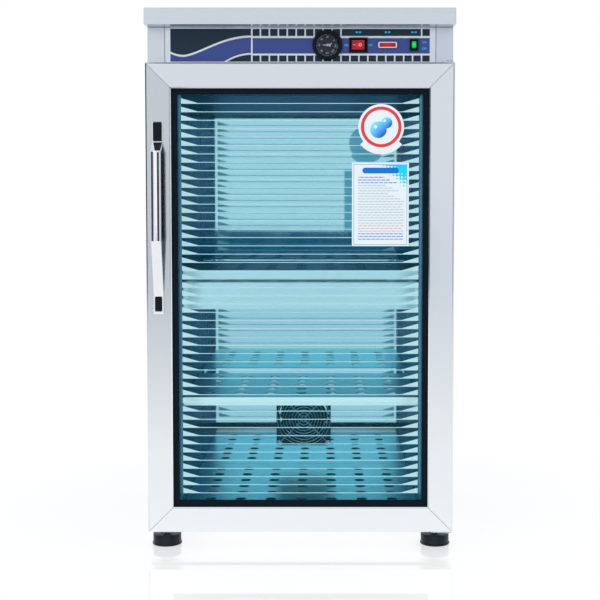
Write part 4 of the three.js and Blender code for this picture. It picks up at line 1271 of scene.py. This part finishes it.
def build_glass(settings):
    tinted = see_through("tinted_glass", settings.tint, 0.16, settings.veil, 0.03)
    rubber = moulded("channel_rubber", (0.003, 0.008, 0.015), 0.42, 0.9, 0.02, 0.06)
    dress(formed("door_glass", 0.6), tinted, "door_glass")
    dress(formed("glass_gasket", 0.7, 3), rubber, "glass_gasket")
    seal_rubber = moulded("seal_rubber", (0.014, 0.016, 0.019), 0.7, shine=0.3)
    dress(formed("door_seal", 1.0, 3), seal_rubber, "door_seal")
    dress(formed("door_magnet", 0.6, 3), seal_rubber, "door_magnet")

    # The line print: each line ends in a wedge on both sides
    face = spans("door_glass")[1][0]
    half, wedge, rise, line = 172, 24.5, 8.0, 1.0
    first = 653.3
    outline = [
        (-half, 0), (half, 0), (half, rise), (half - wedge, line), (wedge - half, line),
        (-half, rise)]
    stripe = prism("glass_print", "y", outline, (face - INK_DEPTH, face))
    stripe.location.z = first * MM
    settle(stripe)
    only(stripe)
    apply_modifier(stripe, "ARRAY", count=settings.line_count, use_relative_offset=False,
                   use_constant_offset=True,
                   constant_offset_displace=(0, 0, -settings.line_pitch))
    # The ink gives off light though no lamp is behind it: painted light.
    ink = moulded("print_ink", settings.print_colour, 0.45, 1.2, 0.004, 0.2, 0.45)
    dress(stripe, ink, "door_glass", stands_for=False)


def round_sticker_print():
    """White paper with a coral ring round two plain blue beads."""
    seal = Finish("round_sticker")
    x, y, z = seal.place()
    behind = y > spans("door_glass")[1][0] - INK_DEPTH - 0.03
    x, z = x - ROUND_STICKER[0], z - ROUND_STICKER[1]
    reach = x.reach(z)
    paper = seal.noise(2.0, (1, 1, 1), 3.0)
    colour = seal.mix(paper, PAPER, (0.77, 0.84, 0.88))
    for side, rise, size in ((8, 6, 8), (-4, -4, 12)):
        bead = (x - side).reach(z - rise)
        shade = ((z - rise - x + side) / (2.2 * size) + 0.5).held()
        tone = seal.mix(shade, (0.01, 0.13, 0.66), (0.20, 0.70, 0.93))
        colour = seal.mix(bead < size, colour, tone)
        glint = (x - side + size * 0.35).reach(z - rise - size * 0.35) < size * 0.2
        colour = seal.mix(glint, colour, (0.75, 0.90, 0.97))
    ring_inside, ring_outside, coral = 24.7, 29.4, (0.72, 0.042, 0.06)
    colour = seal.mix(reach.within(ring_inside, ring_outside), colour, coral)
    colour = seal.mix(behind, colour, PAPER)
    # Painted light: the front gives off a share of its own colour, and the side against the
    # glass a pale teal, though no lamp lights either.
    glow = seal.mix(behind, seal.mix(0.85, colour, (0, 0, 0)), (0.26, 0.46, 0.54))
    return seal.shown(seal.principled(
        base_color=colour, roughness=paper * 0.1 + 0.4, specular_ior_level=0.2,
        emission_color=glow, emission_strength=1.0))


def card_print():
    """A plain leaflet: border, header bar, halftone corner and broken ruled lines."""
    card = Finish("leaflet_card")
    x, y, z = card.place()
    behind = y > spans("door_glass")[1][0] - INK_DEPTH - 0.03
    paper = card.noise(2.0, (1, 1, 1), 3.0)
    stock = (0.70, 0.77, 0.82)
    colour = card.mix(paper, stock, (0.77, 0.83, 0.87))
    corner = ((((x - 112) / 43 + (z - 527) / 39) / 2 - 0.42) * 2.4).held()
    cell = ((x / 5).share() - 0.5).reach((z / 5).share() - 0.5)
    inside = x.within(78.2, 154.4) * z.within(450.2, 565.3)
    dots = (cell > (1 - corner) * 0.75) * inside
    colour = card.mix(dots, colour, (0.0, 0.60, 0.87))
    header_middle, header_half, header_level, header_radius = 116.5, 22.3, 557.1, 4.2
    header = ((x - header_middle).size() - header_half).either(0.0).reach(
        z - header_level) < header_radius
    colour = card.mix(header, colour, (0.0, 0.16, 0.62))
    first_line, last_line, line_pitch, lines_left, lines_right = 548, 455, 3.9, 84, 150
    row = (first_line - z) / line_pitch
    index = row.whole()
    ragged = (index * 0.37).share() * 24 + 122
    words = ((x + index * 3.1) / 6.7).share() < 0.84
    bars = (row.share() < 0.36) * words * (x > lines_left) * (
        x < ragged + 24 * (index > 8.5))
    bars = bars * (x < lines_right) * z.within(last_line, first_line) * (1 - dots)
    blue = (index < 2.5).either(index > 20.5)
    tone = card.mix(blue, (0.40, 0.55, 0.60), (0.10, 0.26, 0.60))
    tone = card.mix(index.within(17.5, 19.5), tone, (0.80, 0.36, 0.40))
    colour = card.mix(bars, colour, tone)
    border = x.within(*LEAFLET_BORDER_X) * z.within(*LEAFLET_BORDER_Z) * (1 - inside)
    colour = card.mix(border, colour, (0.22, 0.38, 0.50))
    colour = card.mix(behind, colour, stock)
    # Painted light: the front gives off a share of its own colour, and the side against the
    # glass a pale teal, though no lamp lights either.
    glow = card.mix(behind, card.mix(0.85, colour, (0, 0, 0)), (0.24, 0.46, 0.54))
    return card.shown(card.principled(
        base_color=colour, roughness=paper * 0.1 + 0.35, specular_ior_level=0.2,
        emission_color=glow, emission_strength=1.0))


def build_stickers():
    """A round sticker with a curved tab and a leaflet card, both plain."""
    face = spans("door_glass")[1][0] - INK_DEPTH
    disc_radius, tab_radius, sticker_depth, card_depth = 33, 39.4, 0.2, 0.25

    def arc(radius, start, end, steps):
        angles = [math.radians(start + (end - start) * i / steps) for i in range(steps + 1)]
        return [(ROUND_STICKER[0] + radius * math.cos(angle),
                 ROUND_STICKER[1] + radius * math.sin(angle)) for angle in angles]

    outline = arc(disc_radius, -39, 219, 72) + arc(tab_radius, 219.7, 320.3, 32)
    sticker = prism("round_sticker", "y", outline, (face - sticker_depth, face))
    dress(smooth(sticker), round_sticker_print(), "door_glass", stands_for=False)
    (left, right), (low, high) = LEAFLET_X, LEAFLET_Z
    corners = filleted([(left, low), (right, low), (right, high), (left, high)], 1.5, 5)
    sheet = prism("leaflet_card", "y", corners, (face - card_depth, face))
    dress(smooth(sheet), card_print(), "door_glass", stands_for=False)


def build_handle():
    black = moulded("cover_plastic", (0.004, 0.008, 0.013), 0.4, 0.6, 0.02, 0.1)
    (left, right), (front, rear), (low, high) = spans("door_handle")
    foot, foot_depth, riser, taper, grip = 30, 7, 13.5, 77, 10
    door = rear + 0.3
    grip_low, grip_high = low + foot + taper, high - foot - riser

    def painted_dark_back(metal, shade):
        """The side that faces the door is painted dark: painted shade."""
        _, y, z = metal.place()
        inner = (y > front + 7) * z.within(grip_low, grip_high)
        return metal.mix(inner, shade, (0.020, 0.035, 0.060))

    chrome = plated("handle_chrome", (0.88, 0.90, 0.92), 0.02, 1.2, over=painted_dark_back)
    outline = [
        (rear, high), (door - foot_depth, high), (door - foot_depth, high - foot),
        (front, grip_high), (front, grip_low),
        (door - foot_depth, low + foot), (door - foot_depth, low), (rear, low),
        (rear, low + foot), (front + grip, grip_low),
        (front + grip, grip_high - 2), (rear, high - foot - 2)]
    bar = prism("handle_bar", "x", filleted(outline, 3.5, 5), (left, right))
    centre, half, crown, strips = middle((left, right)), (right - left) / 2, 4.0, 5
    with editing(bar):
        for strip in range(1 - strips, strips):
            bpy.ops.mesh.select_all(action="SELECT")
            bpy.ops.mesh.bisect(
                plane_co=((centre + strip * half / strips) * MM, 0, 0), plane_no=(1, 0, 0))
        # The grip's face is crowned like part of a cylinder
        curve = (half**2 + crown**2) / (2 * crown)
        for strip in range(1, strips + 1):
            aside = strip * half / strips
            select("verts", lambda vert, aside=aside: vert.co.y < (front + 0.4) * MM
                   and abs(abs(vert.co.x / MM - centre) - aside) < 0.1)
            bpy.ops.transform.translate(
                value=(0, (curve - math.sqrt(curve**2 - aside**2)) * MM, 0))
    rounded(bar, 0.9, 3, 50)
    recesses = []
    for node, broad, tall in (("handle_upper_cover", 1.24, 1.36),
                              ("handle_lower_cover", 1.04, 1.0)):
        width, depth, height = spans(node)
        wide = (width[1] - width[0]) * broad + 0.5
        high_side = (height[1] - height[0]) * tall + 0.5
        recesses.append(slab("recess", around(wide, middle(width)),
                             (depth[0] - 4, depth[1] + 0.2),
                             around(high_side, middle(height))))
        dress(resized(formed(node, 0.5, 3), (broad, 1, tall)), black, node)
    dress(smooth(cut(bar, *recesses), 40), chrome, "door_handle")


def build_hinges(settings):
    steel = brushed_steel("hinge_steel", darker(settings.satin, 0.9), (30, 1, 1), 0.3)
    for node in ("upper_hinge_bracket", "lower_hinge_bracket"):
        dress(formed(node, 0.35), steel, node)


def build_feet():
    rubber = moulded("foot_rubber", (0.006, 0.012, 0.020), 0.3, 0.8, 0.015, 0.25)
    steel = plated("foot_steel", (0.60, 0.60, 0.58), 0.25, 1.5)
    for node in ("front_left_foot", "front_right_foot", "rear_left_foot",
                 "rear_right_foot"):
        width, depth, (_, high) = spans(node)
        centre, outer = (middle(width), middle(depth)), (width[1] - width[0]) / 2
        pad = turned(f"{node}_pad", "z", [
            (0, 0.6), (outer - 9, 0.6), (outer - 8, 0), (outer - 2.4, 0),
            (outer - 0.5, 0.6), (outer, 1.6), (outer, 2.6), (outer - 0.3, 3.2),
            (outer - 1.1, 3.6), (outer - 1.1, 15.2), (outer - 1.3, 15.8),
            (outer - 1.9, 16), (9, 16), (9, 15.2), (0, 15.2)], centre, 72)
        dress(smooth(pad), rubber, node)
        turns, thread_pitch, core, crest, thread_start = 15, 1.25, 4.2, 4.95, 15
        nut_radius, nut_span = 8, (18.2, 24.4)
        thread = [(0, thread_start)]
        for i in range(turns):
            level = thread_start + i * thread_pitch
            thread += [(core, level + 0.3), (crest, level + 0.9)]
        stud = turned("foot_stud", "z", [*thread, (core, high - 0.4), (3.4, high), (0, high)],
                      centre, 24)
        nut = rounded(prism("foot_nut", "z", hexagon(nut_radius, centre), nut_span), 0.5)
        dress(joined(f"{node}_stud", [smooth(stud, 20), nut]), steel, node,
              stands_for=False)


# Stage
def glowing(name, colour, strength=1.0):
    """A finish that only gives off light."""
    finish = Finish(name)
    return finish.shown(finish.node(
        "ShaderNodeEmission", {}, {"Color": colour, "Strength": strength}))


def stage_sheet(name, size, location, rotation, finish):
    deselect_all()
    bpy.ops.mesh.primitive_plane_add(size=1, location=location, rotation=rotation)
    sheet = bpy.context.object
    sheet.name = name
    sheet.scale = (*size, 1)
    settle(sheet)
    sheet.data.materials.append(finish)
    return sheet


def build_stage(settings):
    scene = bpy.context.scene
    scene.view_settings.view_transform = "Standard"
    studio = Surroundings("studio")
    seen, through = (studio.node("ShaderNodeLightPath", output=ray)
                     for ray in ("Is Camera Ray", "Is Transmission Ray"))
    white, soft = (
        studio.node("ShaderNodeBackground", {}, {"Color": colour, "Strength": strength})
        for colour, strength in (((1, 1, 1), 1.0), ((0.92, 0.96, 1.0), 0.85)))
    scene.world = studio.shown(studio.node(
        "ShaderNodeMixShader", {}, {0: seen.either(through), 1: soft, 2: white}))

    # Near the object the floor takes its light and shadow; further off it is plain white
    floor = Finish("studio_floor")
    x, y, _ = floor.place()
    shadow_reach, fade = 320, 300
    far = ((x.reach(y) - shadow_reach) / fade).held()
    paper = floor.principled(base_color=(0.3, 0.3, 0.3), roughness=0.6,
                             emission_color=(1, 1, 1), emission_strength=0.85)
    sheen = floor.node("ShaderNodeBsdfGlossy", {}, {"Roughness": 0.03})
    gloss = floor.node("ShaderNodeFresnel", {}, {"IOR": 1.85})
    lit = floor.node("ShaderNodeMixShader", {}, {0: gloss, 1: paper, 2: sheen})
    bright = floor.node("ShaderNodeEmission", {}, {"Color": (1, 1, 1), "Strength": 1.0})
    pale = floor.shown(floor.node("ShaderNodeMixShader", {}, {0: far, 1: lit, 2: bright}))
    floor_width = 14
    stage_sheet("studio_floor", (floor_width, floor_width), (0, 0, 0), (0, 0, 0), pale)

    # Seen only in reflections: a white wall, a dark gap at its foot and dark wings
    white_wall = glowing("wall_white", (1.0, 0.98, 0.97), 1.12)
    cloth = glowing("wing_cloth", (0.05, 0.075, 0.11))
    upright = (math.pi / 2, 0, 0)
    hidden = [
        stage_sheet("studio_wall", (5.2, 3), (0, -5.1, 1.5), upright, white_wall),
        stage_sheet("studio_gap", (1.16, 0.17), (-0.07, -5.0, 0.207), upright,
                    glowing("gap_dark", (0.02, 0.10, 0.19)))]
    for name, degrees, away, width in (("left_wing", -75, 3.0, 2.8),
                                       ("right_wing", 48, 3.3, 3.0)):
        bearing = math.radians(degrees)
        hidden.append(stage_sheet(
            name, (width, 2.4), (away * math.sin(bearing), -away * math.cos(bearing), 1.3),
            (math.pi / 2, 0, bearing), cloth))
    for sheet in hidden:
        sheet.visible_camera = False

    for name, place, power in (("key_lamp", (-1.5, -1.9, 2.4), 14),
                               ("fill_lamp", (1.8, -1.5, 2.0), 9)):
        lamp = bpy.data.objects.new(name, bpy.data.lights.new(name, "AREA"))
        scene.collection.objects.link(lamp)
        lamp.data.energy, lamp.data.size = power, settings.softness
        lamp.location = place
        lamp.rotation_euler = (Vector((0, 0, 0.4)) - Vector(place)).to_track_quat(
            "-Z", "Y").to_euler()

    # The camera matches the photograph: its axis meets the picture off the middle
    deselect_all()
    handle_depth = 34 * MM
    door_front = CAD_BOX[0].y + handle_depth
    bpy.ops.object.camera_add(
        location=(settings.eye_side, door_front - settings.distance, settings.eye_height),
        rotation=(math.pi / 2 - settings.tilt, 0, 0))
    camera = bpy.context.object
    camera.name = "photo_camera"
    pixels = 600
    focal_pixels, axis_x, axis_y = 1228, 324, 256
    camera.data.sensor_width = 36
    camera.data.lens = focal_pixels * camera.data.sensor_width / pixels
    camera.data.shift_x = (pixels / 2 - axis_x) / pixels
    camera.data.shift_y = (axis_y - pixels / 2) / pixels
    scene.camera = camera


# One operator for each piece or group of like pieces, and one for the stage
class STERILIZER_OT_stage(bpy.types.Operator):
    """Makes the floor, lamps, reflectors and camera"""

    bl_idname = "sterilizer.stage"
    bl_label = "Studio Stage"
    bl_options = {"REGISTER", "UNDO"}

    def execute(self, context):
        build_stage(context.scene.sterilizer_stage)
        return {"FINISHED"}


class STERILIZER_OT_shell(bpy.types.Operator):
    """Makes the cap, side panels, rear panel, rails and pan"""

    bl_idname = "sterilizer.shell"
    bl_label = "Cabinet Shell"
    bl_options = {"REGISTER", "UNDO"}

    def execute(self, context):
        build_shell(context.scene.sterilizer_cabinet)
        return {"FINISHED"}


class STERILIZER_OT_gland(bpy.types.Operator):
    """Makes the hexagonal cord gland with its bush"""

    bl_idname = "sterilizer.gland"
    bl_label = "Cord Gland"
    bl_options = {"REGISTER", "UNDO"}

    def execute(self, context):
        build_gland()
        return {"FINISHED"}


class STERILIZER_OT_lining(bpy.types.Operator):
    """Makes the polished walls, shelves and lamp shield"""

    bl_idname = "sterilizer.lining"
    bl_label = "Lining and Shelves"
    bl_options = {"REGISTER", "UNDO"}

    def execute(self, context):
        build_lining(context.scene.sterilizer_cabinet)
        return {"FINISHED"}


class STERILIZER_OT_lamps(bpy.types.Operator):
    """Makes both tubes and their fittings"""

    bl_idname = "sterilizer.lamps"
    bl_label = "Ultraviolet Lamps"
    bl_options = {"REGISTER", "UNDO"}

    def execute(self, context):
        build_lamps()
        return {"FINISHED"}


class STERILIZER_OT_fan(bpy.types.Operator):
    """Makes the fan's frame, rotor, wire guard and screws"""

    bl_idname = "sterilizer.fan"
    bl_label = "Fan"
    bl_options = {"REGISTER", "UNDO"}

    def execute(self, context):
        build_fan()
        return {"FINISHED"}


class STERILIZER_OT_service(bpy.types.Operator):
    """Makes the heater, ballast and terminal block"""

    bl_idname = "sterilizer.service"
    bl_label = "Service Parts"
    bl_options = {"REGISTER", "UNDO"}

    def execute(self, context):
        build_service_parts()
        return {"FINISHED"}


class STERILIZER_OT_overlay(bpy.types.Operator):
    """Makes the printed film with its marks"""

    bl_idname = "sterilizer.overlay"
    bl_label = "Control Overlay"
    bl_options = {"REGISTER", "UNDO"}

    def execute(self, context):
        build_overlay(context.scene.sterilizer_controls)
        return {"FINISHED"}


class STERILIZER_OT_thermometer(bpy.types.Operator):
    """Makes the case, dial, pointer and lens"""

    bl_idname = "sterilizer.thermometer"
    bl_label = "Thermometer"
    bl_options = {"REGISTER", "UNDO"}

    def execute(self, context):
        build_thermometer()
        return {"FINISHED"}


class STERILIZER_OT_switches(bpy.types.Operator):
    """Makes the two rockers and the pilot lamp"""

    bl_idname = "sterilizer.switches"
    bl_label = "Switches and Lamp"
    bl_options = {"REGISTER", "UNDO"}

    def execute(self, context):
        build_switches()
        return {"FINISHED"}


class STERILIZER_OT_door_frame(bpy.types.Operator):
    """Makes the four mitred frame members"""

    bl_idname = "sterilizer.door_frame"
    bl_label = "Door Frame"
    bl_options = {"REGISTER", "UNDO"}

    def execute(self, context):
        build_door_frame(context.scene.sterilizer_door)
        return {"FINISHED"}


class STERILIZER_OT_glass(bpy.types.Operator):
    """Makes the pane, line print, channel, seal and magnet"""

    bl_idname = "sterilizer.glass"
    bl_label = "Door Glass"
    bl_options = {"REGISTER", "UNDO"}

    def execute(self, context):
        build_glass(context.scene.sterilizer_door)
        return {"FINISHED"}


class STERILIZER_OT_stickers(bpy.types.Operator):
    """Makes the round sticker and the leaflet card"""

    bl_idname = "sterilizer.stickers"
    bl_label = "Stickers"
    bl_options = {"REGISTER", "UNDO"}

    def execute(self, context):
        build_stickers()
        return {"FINISHED"}


class STERILIZER_OT_handle(bpy.types.Operator):
    """Makes the chrome bar with its two screw covers"""

    bl_idname = "sterilizer.handle"
    bl_label = "Door Handle"
    bl_options = {"REGISTER", "UNDO"}

    def execute(self, context):
        build_handle()
        return {"FINISHED"}


class STERILIZER_OT_hinges(bpy.types.Operator):
    """Makes the upper and the lower bracket"""

    bl_idname = "sterilizer.hinges"
    bl_label = "Door Hinges"
    bl_options = {"REGISTER", "UNDO"}

    def execute(self, context):
        build_hinges(context.scene.sterilizer_cabinet)
        return {"FINISHED"}


class STERILIZER_OT_feet(bpy.types.Operator):
    """Makes the four rubber pads on their studs"""

    bl_idname = "sterilizer.feet"
    bl_label = "Feet"
    bl_options = {"REGISTER", "UNDO"}

    def execute(self, context):
        build_feet()
        return {"FINISHED"}


OPERATORS = [
    STERILIZER_OT_stage, STERILIZER_OT_shell, STERILIZER_OT_gland, STERILIZER_OT_lining,
    STERILIZER_OT_lamps, STERILIZER_OT_fan, STERILIZER_OT_service, STERILIZER_OT_overlay,
    STERILIZER_OT_thermometer, STERILIZER_OT_switches, STERILIZER_OT_door_frame,
    STERILIZER_OT_glass, STERILIZER_OT_stickers, STERILIZER_OT_handle, STERILIZER_OT_hinges,
    STERILIZER_OT_feet,
]


class STERILIZER_PT_panel(bpy.types.Panel):
    """Lists the pieces of the cabinet and their settings"""

    bl_label = "Ultraviolet Sterilizer"
    bl_idname = "STERILIZER_PT_panel"
    bl_space_type = "VIEW_3D"
    bl_region_type = "UI"
    bl_category = "Sterilizer"

    def draw(self, context):
        for group, settings in GROUPS.items():
            box = self.layout.box()
            for name in settings.__annotations__:
                box.prop(getattr(context.scene, group), name)
        for entry in OPERATORS:
            self.layout.operator(entry.bl_idname)


CLASSES = [*GROUPS.values(), *OPERATORS, STERILIZER_PT_panel]


def register():
    for entry in CLASSES:
        bpy.utils.register_class(entry)
    for name, settings in GROUPS.items():
        setattr(bpy.types.Scene, name, bpy.props.PointerProperty(type=settings))


def unregister():
    for name in GROUPS:
        delattr(bpy.types.Scene, name)
    for entry in reversed(CLASSES):
        bpy.utils.unregister_class(entry)


def main():
    register()
    for entry in OPERATORS:
        group, name = entry.bl_idname.split(".")
        getattr(getattr(bpy.ops, group), name)()
    deselect_all()


if __name__ == "__main__":
    main()
